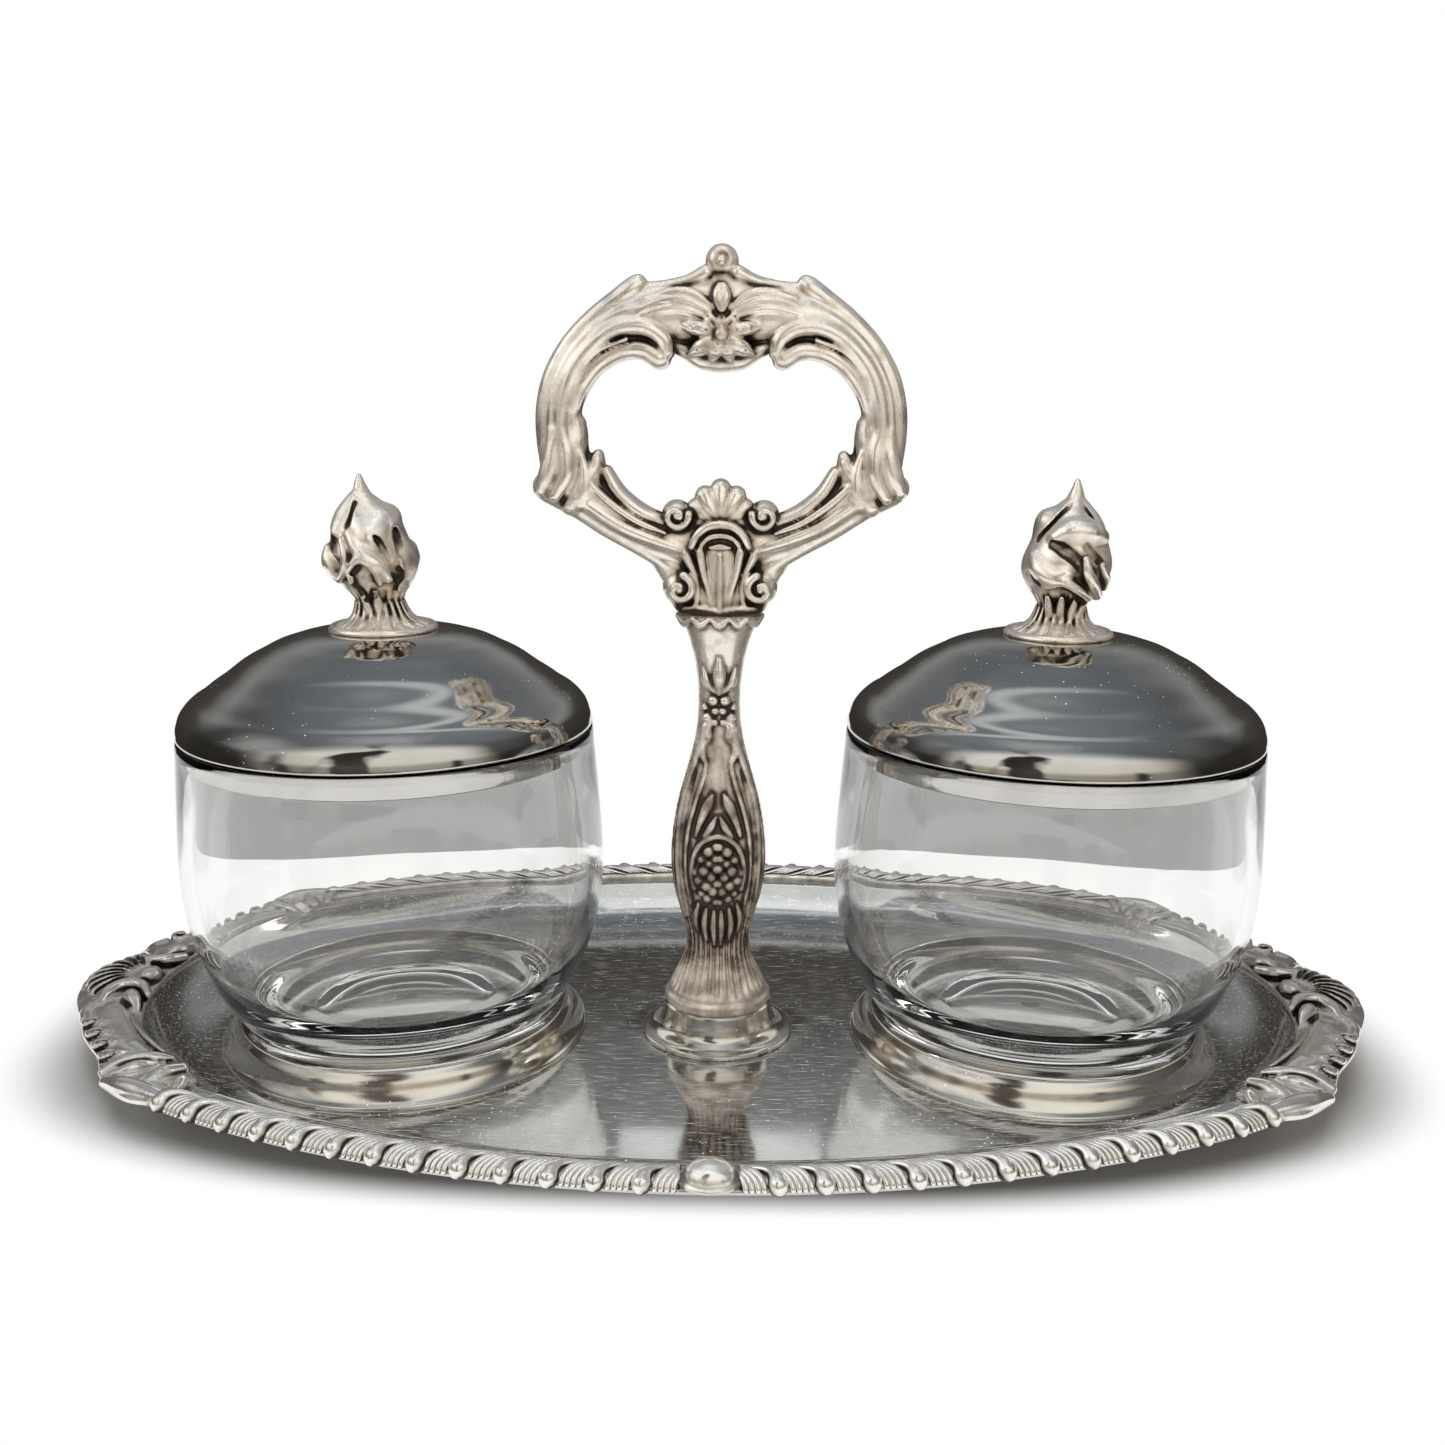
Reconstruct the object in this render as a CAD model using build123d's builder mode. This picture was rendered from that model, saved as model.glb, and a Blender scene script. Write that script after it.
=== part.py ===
from math import atan2, cos, degrees, hypot, radians, sin
import os

from build123d import *

# Twin-jar condiment server: an oval tray with a cast border, two glass jars in
# raised rings, domed lids with bud finials, and a tall centre handle.
# Millimetres. X runs along the tray, -Y is the front, Z is up from the table.

# Tray: an oval of four tangent arcs. The rim line is where the wall ends, and the
# end arcs follow the jar rings.
tray_sheet = 1.0
rim_half_depth = 76.5
wall_width = 15.2
wall_top = 9.6
flange_rise = 1.1
flange_step = 0.9
flange_width = 11.2
ring_wall_gap = 0.1
end_arc_shift = 0.2

# Cast border on the flange, measured outward from the rim line
border_inner = 4.8
border_overhang = 0.8
border_inner_height = 1.0
border_crest = 3.7
border_crest_share = 0.556
border_edge_height = 0.5
bead_radius = 1.9
bead_spacing = 8.0
bead_inset = 2.0
bead_rise = 1.5
border_gap = 0.15

# Centre bosses of the long sides
boss_half_width = 5.5
boss_half_depth = 5.0
boss_overhang = 1.0
boss_height = 3.4
boss_round = 1.6
boss_bead_radius = 2.2

# Shell mounts at the two ends
mount_angle_share = 0.8875
mount_inner = 1.3
mount_thickness = 2.2
mount_reach = 5.0
shell_ribs = 9
shell_fan = 120.0
shell_focus = 5.0
shell_rib_length = 12.5
shell_rib_spread = 4.2
shell_rib_root = 0.7
shell_rib_end = 2.0
shell_rise = 1.4
scroll_radius = 3.0
leaf_radius = 2.0
bulge_radius = 3.8

# Jar rings, spun and soldered to the tray
jar_offset = 76.3
ring_base_radius = 43.7
ring_top_radius = 38.9
ring_height = 7.0
ring_sheet = 1.0
ring_foot = 0.9

# Glass jars: the waist stands just above the ring's top, clear of it
jar_radius = 48.7
jar_height = 76.2
jar_waist_gap = 0.3
jar_waist_rise = 1.0
jar_foot_inset = 4.1
glass_wall = 3.0
jar_lip = 2.6
jar_base_thick = 9.0
punt_inset = 11.5
punt_height = 3.4

# Lids: a spun dome with a band that drops inside the glass mouth
lid_inset = 0.2
lid_height = 22.1
lid_sheet = 1.0
lid_top_flat = 12.8
band_height = 5.8
band_sheet = 1.0
band_clearance = 0.6
band_joint = 0.1

# Finials: cast buds with a stud through the lid
finial_skirt_radius = 12.2
finial_height = 34.2
finial_neck_radius = 4.8
finial_bud_radius = 10.3
finial_lobe_radius = 3.6
finial_stud_radius = 1.75
finial_stud_gap = 0.2
finial_washer_radius = 4.5
finial_washer_thick = 0.8
finial_nut_flats = 6.0
finial_nut_height = 2.8
finial_stud_end = 0.9

# Handle socket over a dimple pressed up in the tray's centre
socket_flare = 5.2
socket_lip = 0.1
socket_height = 8.3
socket_sheet = 1.0
socket_foot = 0.8
socket_hollow = 0.3
dimple_base_gap = 2.3
dimple_top_gap = 1.6

# Handle: a hollow cast stem and an open cast loop, drawn down by one threaded rod
stem_height = 94.2
stem_half_width = 13.0
loop_half_width = 41.5
loop_height = 77.9
loop_plate = 6.4
loop_rib_radius = 3.9
volute_thick = 9.0
flower_thick = 9.6
knob_radius = 3.4
tie_rod_radius = 2.0
tie_rod_gap = 0.25
tie_rod_thread_gap = 0.05
tie_rod_grip = 9.0
tie_rod_tail = 1.3
tie_washer_radius = 6.0
tie_washer_thick = 0.8
tie_nut_flats = 7.0
tie_nut_height = 3.2

os.makedirs("parts", exist_ok=True)

# Shares of the jar's height and outline that other pieces follow
jar_top_share = 0.965

# Places worked out from the sizes above
tray_top = tray_sheet
flange_top = wall_top + flange_rise
border_outer = flange_width + border_overhang
border_crest_place = border_inner + border_crest_share * (border_outer - border_inner)
bead_place = border_outer - bead_inset
boss_place = border_outer + boss_overhang - boss_half_depth
rim_end_radius = ring_base_radius + ring_wall_gap + wall_width
end_centre = jar_offset + end_arc_shift
side_radius = (end_centre ** 2 + rim_half_depth ** 2 - rim_end_radius ** 2) / (
    2 * (rim_half_depth - rim_end_radius))
side_centre = side_radius - rim_half_depth
join_angle = degrees(atan2(side_centre, end_centre))
mount_half_angle = join_angle * mount_angle_share
ring_top = tray_top + ring_height
jar_waist_radius = ring_top_radius - ring_sheet - jar_waist_gap
jar_foot_radius = jar_waist_radius - jar_foot_inset
punt_radius = jar_foot_radius - punt_inset
jar_top_radius = jar_radius * jar_top_share
jar_mouth_inner = jar_top_radius - jar_lip
lid_radius = jar_top_radius - lid_inset
mouth_top = tray_top + jar_height
lid_top = mouth_top + lid_height
finial_stud_hole = finial_stud_radius + finial_stud_gap
socket_top_radius = stem_half_width + socket_lip
socket_base_radius = socket_top_radius + socket_flare
socket_waist = (socket_base_radius + socket_top_radius) / 2 - socket_hollow
socket_top = tray_top + socket_height
dimple_base_radius = socket_base_radius - socket_sheet - dimple_base_gap
dimple_top_radius = socket_top_radius - socket_sheet - dimple_top_gap
dimple_top = socket_top - socket_sheet
stem_top = socket_top + stem_height
tie_rod_hole = tie_rod_radius + tie_rod_gap
side_names = {"left": -1, "right": 1}


def save(part, name):
    part.label = name
    export_step(part, f"parts/{name}.step")


def section_plane(x, y, angle):
    """Upright plane whose local X points away from a centre at the given angle."""
    turn = radians(angle)
    return Plane(origin=(x, y, 0), x_dir=(cos(turn), sin(turn), 0), z_dir=(sin(turn), -cos(turn), 0))


def rim_arcs():
    """Centre, rim radius, first angle and turn of the oval's four arcs."""
    side_turn = 180 - 2 * join_angle
    return [
        (end_centre, 0, rim_end_radius, -join_angle, 2 * join_angle),
        (0, -side_centre, side_radius, join_angle, side_turn),
        (-end_centre, 0, rim_end_radius, 180 - join_angle, 2 * join_angle),
        (0, side_centre, side_radius, 180 + join_angle, side_turn),
    ]


def oval_sketch(height, grow):
    """Oval face, larger than the rim line by grow, at a height."""
    with BuildSketch(Plane.XY.offset(height)) as oval:
        with BuildLine():
            for x, y, radius, start, turn in rim_arcs():
                CenterArc((x, y), radius + grow, start, turn)
        make_face()
    return oval.sketch


def turned_about(x):
    """Plane and axis for a piece turned about a vertical line at x."""
    return Plane(origin=(x, 0, 0), x_dir=(1, 0, 0), z_dir=(0, -1, 0)), Axis((x, 0, 0), (0, 0, 1))


def quarter_point(side, face, out, along):
    """Point outward from the rim line by out, at an arc length from the long side's middle."""
    side_turn = degrees(along / (side_radius + out))
    if side_turn < 90 - join_angle:
        angle = radians(90 - side_turn)
        x = (side_radius + out) * cos(angle)
        y = (side_radius + out) * sin(angle) - side_centre
    else:
        rest = along - radians(90 - join_angle) * (side_radius + out)
        angle = radians(join_angle) - rest / (rim_end_radius + out)
        x = end_centre + (rim_end_radius + out) * cos(angle)
        y = (rim_end_radius + out) * sin(angle)
    return side * x, face * y


def offset_outline(points, distance):
    """The same outline moved inward, square to itself, for a sheet's other side."""
    moved = []
    for place, point in enumerate(points):
        before = points[max(place - 1, 0)]
        after = points[min(place + 1, len(points) - 1)]
        run, rise = after[0] - before[0], after[1] - before[1]
        length = hypot(run, rise)
        moved.append((point[0] - distance * rise / length, point[1] + distance * run / length))
    return moved


# Tray pan: flat centre, hollow wall and level flange from one sheet
with BuildPart() as tray_pan:
    extrude(oval_sketch(0, -wall_width), amount=tray_sheet)
    wall_rise = wall_top - tray_sheet
    wall_radius = (wall_width ** 2 + wall_rise ** 2) / (2 * wall_rise)
    under_scale = (wall_radius + tray_sheet) / wall_radius
    under_end = (
        wall_width * (under_scale - 1),
        wall_top - wall_rise + wall_radius + (wall_rise - wall_radius) * under_scale)
    for x, y, radius, start, turn in rim_arcs():
        with BuildSketch(section_plane(x, y, start)):
            with BuildLine():
                TangentArc((radius - wall_width, tray_sheet), (radius, wall_top), tangent=(1, 0))
                Polyline(
                    (radius, wall_top),
                    (radius + flange_step, flange_top),
                    (radius + flange_width, flange_top),
                    (radius + flange_width, flange_top - tray_sheet),
                    (radius + flange_step + tray_sheet, flange_top - tray_sheet),
                    (radius + under_end[0], under_end[1]))
                TangentArc((radius - wall_width, 0), (radius + under_end[0], under_end[1]), tangent=(1, 0))
                Line((radius - wall_width, 0), (radius - wall_width, tray_sheet))
            make_face()
        revolve(axis=Axis((x, y, 0), (0, 0, 1)), revolution_arc=turn)
    Cone(dimple_base_radius, dimple_top_radius, dimple_top, align=(Align.CENTER, Align.CENTER, Align.MIN))
    Cone(
        dimple_base_radius - tray_sheet, dimple_top_radius - tray_sheet, dimple_top - tray_sheet,
        align=(Align.CENTER, Align.CENTER, Align.MIN), mode=Mode.SUBTRACT)
    Cylinder(tie_rod_hole, dimple_top, align=(Align.CENTER, Align.CENTER, Align.MIN), mode=Mode.SUBTRACT)
save(tray_pan.part, "tray_pan")


def border_section(plane, radius):
    """Domed cross-section of the cast border, standing on the flange."""
    inner, outer = radius + border_inner, radius + border_outer
    with BuildSketch(plane) as section:
        with BuildLine():
            Line((inner, flange_top), (inner, flange_top + border_inner_height))
            ThreePointArc(
                (inner, flange_top + border_inner_height),
                (radius + border_crest_place, flange_top + border_crest),
                (outer, flange_top + border_edge_height))
            Polyline((outer, flange_top + border_edge_height), (outer, flange_top), (inner, flange_top))
        make_face()
    return section.sketch


def mirrored_span(first, last, side, face):
    """Start angle and turn of an arc mirrored to another quarter of the oval."""
    angles = sorted(face * (angle if side > 0 else 180 - angle) for angle in (first, last))
    return angles[0], angles[1] - angles[0]


# Cast gadrooned border: four lengths between the bosses and the shell mounts
boss_turn = degrees((boss_half_width + border_gap) / (side_radius + border_inner))
for face_name, face in {"front": -1, "back": 1}.items():
    for side_name, side in side_names.items():
        with BuildPart() as gadroon:
            pieces = [
                (0, -face * side_centre, side_radius, join_angle, 90 - boss_turn),
                (side * end_centre, 0, rim_end_radius, mount_half_angle, join_angle),
            ]
            for x, y, radius, first, last in pieces:
                start, turn = mirrored_span(first, last, side, face)
                section = border_section(section_plane(x, y, start), radius)
                revolve(section, axis=Axis((x, y, 0), (0, 0, 1)), revolution_arc=turn)
            length = radians(90 - join_angle) * (side_radius + bead_place)
            length += radians(join_angle - mount_half_angle) * (rim_end_radius + bead_place)
            beads = int((length - boss_half_width - bead_radius) / bead_spacing)
            for bead in range(beads):
                along = boss_half_width + bead_spacing * (bead + 0.5)
                x, y = quarter_point(side, face, bead_place, along)
                with Locations((x, y, flange_top + bead_rise)):
                    Sphere(bead_radius)
            split(bisect_by=Plane.XY.offset(flange_top), keep=Keep.TOP)
        save(gadroon.part, f"gadroon_{face_name}_{side_name}")

    with BuildPart() as boss:
        middle = face * (rim_half_depth + boss_place)
        with BuildSketch(Plane.XY.offset(flange_top)):
            with Locations((0, middle)):
                Ellipse(boss_half_width, boss_half_depth)
        extrude(amount=boss_height)
        fillet(boss.edges().group_by(Axis.Z)[-1], radius=boss_round)
        with Locations((0, middle, flange_top + boss_height)):
            Sphere(boss_bead_radius)
    save(boss.part, f"{face_name}_boss")

# Shell mounts: a crescent plate, a fan of ribs, two scroll heads and a leaf trail.
# The edge is given as shares of the half angle and of the reach past the border.
mount_edge_shares = [
    (0, 1.0), (0.23, 0.8), (0.36, 0.3), (0.5, 0.15), (0.64, -0.1), (0.8, 0.2), (0.93, 0.42), (1, 0)]
leaf_shares = [(0.42, 0.72), (0.53, 0.68), (0.64, 0.62), (0.74, 0.5)]
scroll_shares = [(0.23, 0.3), (0.31, 0.55)]
bulge_share = (0.88, 0.66)


def end_point(side, share_of_angle, out):
    """Point at a share of the mount's half angle, outward from the rim line by out."""
    angle = radians(mount_half_angle * share_of_angle)
    reach = rim_end_radius + out
    return side * (end_centre + reach * cos(angle)), reach * sin(angle)


for side_name, side in side_names.items():
    with BuildPart() as shell_mount:
        upper = [end_point(side, turn, border_outer + mount_reach * out) for turn, out in mount_edge_shares]
        edge = [(x, -y) for x, y in reversed(upper[1:])] + upper
        inner = [end_point(side, turn, mount_inner) for turn in (-1, 0, 1)]
        with BuildSketch(Plane.XY.offset(flange_top)):
            with BuildLine():
                Spline(*edge)
                Line(edge[-1], inner[-1])
                ThreePointArc(inner[-1], inner[1], inner[0])
                Line(inner[0], edge[0])
            make_face()
        extrude(amount=mount_thickness)
        focus = end_centre + rim_end_radius + shell_focus
        plate_top = flange_top + mount_thickness
        with BuildSketch(Plane.XY.offset(flange_top)):
            for rib in range(shell_ribs):
                turn_share = 2 * rib / (shell_ribs - 1) - 1
                turn = radians(shell_fan / 2 * turn_share)
                run = shell_rib_length + shell_rib_spread * turn_share ** 2
                along = (side * cos(turn), sin(turn))
                across = (-along[1], along[0])
                corners = []
                for reach, half in ((0, shell_rib_root), (run, shell_rib_end)):
                    x, y = side * focus + reach * along[0], reach * along[1]
                    corners.append([(x + half * across[0], y + half * across[1]),
                                    (x - half * across[0], y - half * across[1])])
                with BuildLine():
                    Line(corners[0][1], corners[0][0])
                    Line(corners[0][0], corners[1][0])
                    tip = run + shell_rib_end
                    ThreePointArc(
                        corners[1][0], (side * focus + tip * along[0], tip * along[1]), corners[1][1])
                    Line(corners[1][1], corners[0][1])
                make_face()
        extrude(amount=mount_thickness + shell_rise)
        domes = [(end_point(side, turn, border_outer * out), scroll_radius) for turn, out in scroll_shares]
        domes += [(end_point(side, turn, border_outer * out), leaf_radius) for turn, out in leaf_shares]
        domes.append((end_point(side, bulge_share[0], border_outer * bulge_share[1]), bulge_radius))
        for (x, y), radius in domes:
            with Locations((x, y, plate_top), (x, -y, plate_top)):
                Sphere(radius)
        split(bisect_by=Plane.XY.offset(flange_top), keep=Keep.TOP)
    save(shell_mount.part, f"{side_name}_shell_mount")

# Jar rings: spun collars, wider at the foot
for side_name, side in side_names.items():
    plane, axis = turned_about(side * jar_offset)
    with BuildPart() as jar_ring:
        with BuildSketch(plane):
            with BuildLine():
                Line((ring_base_radius, tray_top), (ring_base_radius, tray_top + ring_foot))
                ThreePointArc(
                    (ring_base_radius, tray_top + ring_foot),
                    ((ring_base_radius + ring_top_radius) / 2 + ring_sheet / 2, tray_top + ring_height / 2),
                    (ring_top_radius, ring_top))
                Line((ring_top_radius, ring_top), (ring_top_radius - ring_sheet, ring_top))
                ThreePointArc(
                    (ring_top_radius - ring_sheet, ring_top),
                    ((ring_base_radius + ring_top_radius) / 2 - ring_sheet / 2, tray_top + ring_height / 2),
                    (ring_base_radius - ring_sheet, tray_top))
                Line((ring_base_radius - ring_sheet, tray_top), (ring_base_radius, tray_top))
            make_face()
        revolve(axis=axis)
    save(jar_ring.part, f"{side_name}_jar_ring")

# Glass jars: flanks as shares of the way from the waist to the widest radius, shoulders
# as shares of the widest radius, and both as shares of the height
jar_flank_shares = [(0.352, 0.184), (0.658, 0.289), (0.912, 0.42), (1, 0.59)]
jar_shoulder_shares = [(0.984, 0.79), (jar_top_share, 1)]
jar_floor_shares = [(0.819, 0.01)]
jar_inside_flank_shares = [(0.177, 0.06), (0.691, 0.185), (0.938, 0.33), (1, 0.51)]
jar_inside_shoulder_shares = [(0.985, 0.75)]

for side_name, side in side_names.items():
    plane, axis = turned_about(side * jar_offset)
    inside_floor = tray_top + jar_base_thick
    inside_radius = jar_radius - glass_wall
    inside_waist = jar_waist_radius - glass_wall
    inside_depth = mouth_top - inside_floor
    swell = jar_radius - jar_waist_radius
    outside = [(jar_waist_radius, ring_top + jar_waist_rise)]
    outside += [(jar_waist_radius + swell * r, tray_top + jar_height * z) for r, z in jar_flank_shares]
    outside += [(jar_radius * r, tray_top + jar_height * z) for r, z in jar_shoulder_shares]
    inside = [(inside_waist * r, inside_floor + inside_depth * z) for r, z in jar_floor_shares]
    for r, z in jar_inside_flank_shares:
        inside.append((inside_waist + swell * r, inside_floor + inside_depth * z))
    for r, z in jar_inside_shoulder_shares:
        inside.append((inside_radius * r, inside_floor + inside_depth * z))
    with BuildPart() as glass_jar:
        with BuildSketch(plane):
            with BuildLine():
                Line((punt_radius, tray_top), (jar_foot_radius, tray_top))
                Spline((jar_foot_radius, tray_top), *outside)
                Line(outside[-1], (jar_mouth_inner, mouth_top))
                Spline(
                    (jar_mouth_inner, mouth_top), *reversed(inside), (0, inside_floor),
                    tangents=[(0, -1), (-1, 0)])
                Line((0, inside_floor), (0, tray_top + punt_height))
                TangentArc((0, tray_top + punt_height), (punt_radius, tray_top), tangent=(1, 0))
            make_face()
        revolve(axis=axis)
    save(glass_jar.part, f"{side_name}_glass_jar")

# Lid domes: outline as shares of the edge radius and of the dome's height
lid_shares = [
    (1, 0), (0.993, 0.1), (0.965, 0.24), (0.885, 0.39), (0.79, 0.53), (0.695, 0.67), (0.595, 0.8),
    (0.43, 0.935)]

for side_name, side in side_names.items():
    plane, axis = turned_about(side * jar_offset)
    dome = [(lid_radius * r, mouth_top + lid_height * z) for r, z in lid_shares] + [(lid_top_flat, lid_top)]
    hollow = offset_outline(dome, lid_sheet)
    hollow[0] = (lid_radius - lid_sheet, mouth_top)
    hollow[-1] = (lid_top_flat, lid_top - lid_sheet)
    with BuildPart() as lid:
        with BuildSketch(plane):
            with BuildLine():
                Spline(*dome, tangents=[(0, 1), (-1, 0)])
                Polyline(
                    dome[-1], (finial_stud_hole, lid_top), (finial_stud_hole, lid_top - lid_sheet),
                    hollow[-1])
                Spline(*reversed(hollow), tangents=[(1, 0), (0, -1)])
                Line(hollow[0], dome[0])
            make_face()
        revolve(axis=axis)
    save(lid.part, f"{side_name}_lid")

    band_outer = jar_mouth_inner - band_clearance
    band_lip = lid_radius - lid_sheet - band_joint
    with BuildPart() as lid_band:
        with BuildSketch(plane):
            with BuildLine():
                Polyline(
                    (band_outer, mouth_top - band_height),
                    (band_outer, mouth_top),
                    (band_lip, mouth_top),
                    (band_lip, mouth_top + band_sheet),
                    (band_outer - band_sheet, mouth_top + band_sheet),
                    (band_outer - band_sheet, mouth_top - band_height),
                    close=True)
            make_face()
        revolve(axis=axis)
    save(lid_band.part, f"{side_name}_lid_band")

# Finials: skirt, neck and bud as shares of their radii and of the height above the lid
skirt_shares = [(1, 0.025), (0.9, 0.05), (0.62, 0.09)]
neck_share = 0.145
bud_shares = [(0.6, 0.2), (0.86, 0.29), (1, 0.4), (0.99, 0.52), (0.88, 0.64), (0.62, 0.77), (0.3, 0.9)]
lobe_shares = [
    (0.72, 0, 0.44), (0.7, 75, 0.5), (0.74, 150, 0.4), (0.7, 225, 0.55), (0.72, 290, 0.46), (0.5, 40, 0.72)]

for side_name, side in side_names.items():
    x = side * jar_offset
    plane, axis = turned_about(x)
    skirt = [(finial_skirt_radius * r, lid_top + finial_height * z) for r, z in skirt_shares]
    bud = [(finial_bud_radius * r, lid_top + finial_height * z) for r, z in bud_shares]
    neck = (finial_neck_radius, lid_top + finial_height * neck_share)
    stud_length = lid_sheet + finial_washer_thick + finial_nut_height + finial_stud_end
    with BuildPart() as finial:
        with BuildSketch(plane):
            with BuildLine():
                Polyline((0, lid_top), (finial_skirt_radius, lid_top), skirt[0])
                Spline(*skirt, neck, *bud, (0, lid_top + finial_height))
                Line((0, lid_top + finial_height), (0, lid_top))
            make_face()
        revolve(axis=axis)
        for share, angle, rise in lobe_shares:
            reach = finial_bud_radius * share
            turn = radians(angle)
            with Locations((x + reach * cos(turn), reach * sin(turn), lid_top + finial_height * rise)):
                Sphere(finial_lobe_radius)
        with Locations((x, 0, lid_top)):
            Cylinder(finial_stud_radius, stud_length, align=(Align.CENTER, Align.CENTER, Align.MAX))
    save(finial.part, f"{side_name}_finial")

    washer_top = lid_top - lid_sheet
    with BuildPart() as finial_washer:
        with BuildSketch(Plane.XY.offset(washer_top - finial_washer_thick)):
            with Locations((x, 0)):
                Circle(finial_washer_radius)
                Circle(finial_stud_hole, mode=Mode.SUBTRACT)
        extrude(amount=finial_washer_thick)
    save(finial_washer.part, f"{side_name}_finial_washer")

    nut_top = washer_top - finial_washer_thick
    with BuildPart() as finial_nut:
        with BuildSketch(Plane.XY.offset(nut_top - finial_nut_height)):
            with Locations((x, 0)):
                RegularPolygon(finial_nut_flats / 2, side_count=6, major_radius=False)
                Circle(finial_stud_radius + tie_rod_thread_gap, mode=Mode.SUBTRACT)
        extrude(amount=finial_nut_height)
    save(finial_nut.part, f"{side_name}_finial_nut")

# Handle socket: a spun cup, open below, between the tray and the stem
with BuildPart() as handle_socket:
    plane, axis = turned_about(0)
    with BuildSketch(plane):
        with BuildLine():
            Line((socket_base_radius, tray_top), (socket_base_radius, tray_top + socket_foot))
            ThreePointArc(
                (socket_base_radius, tray_top + socket_foot),
                (socket_waist, tray_top + socket_height / 2),
                (socket_top_radius, socket_top))
            Polyline(
                (socket_top_radius, socket_top), (tie_rod_hole, socket_top), (tie_rod_hole, dimple_top),
                (socket_top_radius - socket_sheet, dimple_top))
            ThreePointArc(
                (socket_top_radius - socket_sheet, dimple_top),
                (socket_waist - socket_sheet, tray_top + socket_height / 2),
                (socket_base_radius - socket_sheet, tray_top))
            Line((socket_base_radius - socket_sheet, tray_top), (socket_base_radius, tray_top))
        make_face()
    revolve(axis=axis)
save(handle_socket.part, "handle_socket")

# Handle stem: shares of its height, half width, and depth against width
stem_shares = [
    (0, 0.97, 1), (0.02, 1, 1), (0.07, 0.82, 0.98), (0.125, 0.62, 0.95), (0.18, 0.575, 0.92),
    (0.24, 0.67, 0.88), (0.31, 0.81, 0.84), (0.39, 0.877, 0.8), (0.48, 0.815, 0.8), (0.57, 0.68, 0.82),
    (0.66, 0.49, 0.86), (0.76, 0.385, 0.92), (0.86, 0.415, 0.92), (0.94, 0.53, 0.85), (1, 0.7, 0.75)]

with BuildPart() as handle_stem:
    for rise, width, depth in stem_shares:
        with BuildSketch(Plane.XY.offset(socket_top + stem_height * rise)):
            Ellipse(stem_half_width * width, stem_half_width * width * depth)
    loft()
    with Locations((0, 0, socket_top)):
        Cylinder(
            tie_rod_hole, stem_height, align=(Align.CENTER, Align.CENTER, Align.MIN), mode=Mode.SUBTRACT)
save(handle_stem.part, "handle_stem")

# Handle loop: half outlines as shares of the half width and of the height above the stem
loop_arm_shares = [(0.24, 0.115), (0.41, 0.17), (0.6, 0.222), (0.77, 0.278), (0.915, 0.33)]
loop_side_shares = [
    (0.93, 0.4), (0.965, 0.48), (0.965, 0.57), (0.868, 0.725), (0.65, 0.848), (0.457, 0.905)]
loop_crown_shares = [(0.457, 0.905), (0.31, 0.9), (0, 0.937)]
hole_top_shares = [(0, 0.682), (0.29, 0.697)]
hole_side_shares = [(0.29, 0.697), (0.458, 0.705), (0.602, 0.661), (0.7, 0.603), (0.728, 0.552)]
hole_bump_shares = [(0.728, 0.552), (0.65, 0.5), (0.578, 0.436)]
hole_low_shares = [(0.578, 0.436), (0.537, 0.385), (0.446, 0.327), (0.3, 0.297)]
hole_shell_shares = [(0.3, 0.297), (0.157, 0.344), (0, 0.364)]
rib_shares = [
    (0.3, 0.225), (0.5, 0.277), (0.68, 0.34), (0.81, 0.425), (0.85, 0.545), (0.79, 0.67), (0.65, 0.765),
    (0.44, 0.825), (0.22, 0.835)]
volutes_shares = [
    (0.22, 0.076, 0.092), (0.94, 0.35, 0.072), (0.232, 0.273, 0.075), (0.28, 0.69, 0.052),
    (0.43, 0.905, 0.055)]
flower_centre_share = 0.757
flower_petals = 6
shell_lobes = 5
shell_lobe_fan = 120
shell_centre_share = 0.25
petal_share = 0.9
petal_reach_share = 2
collar_top_shares = (1.5, 1.4)


def loop_points(shares, side=1):
    """Outline points in the handle's upright plane."""
    return [(side * loop_half_width * across, stem_top + loop_height * up) for across, up in shares]


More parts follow.
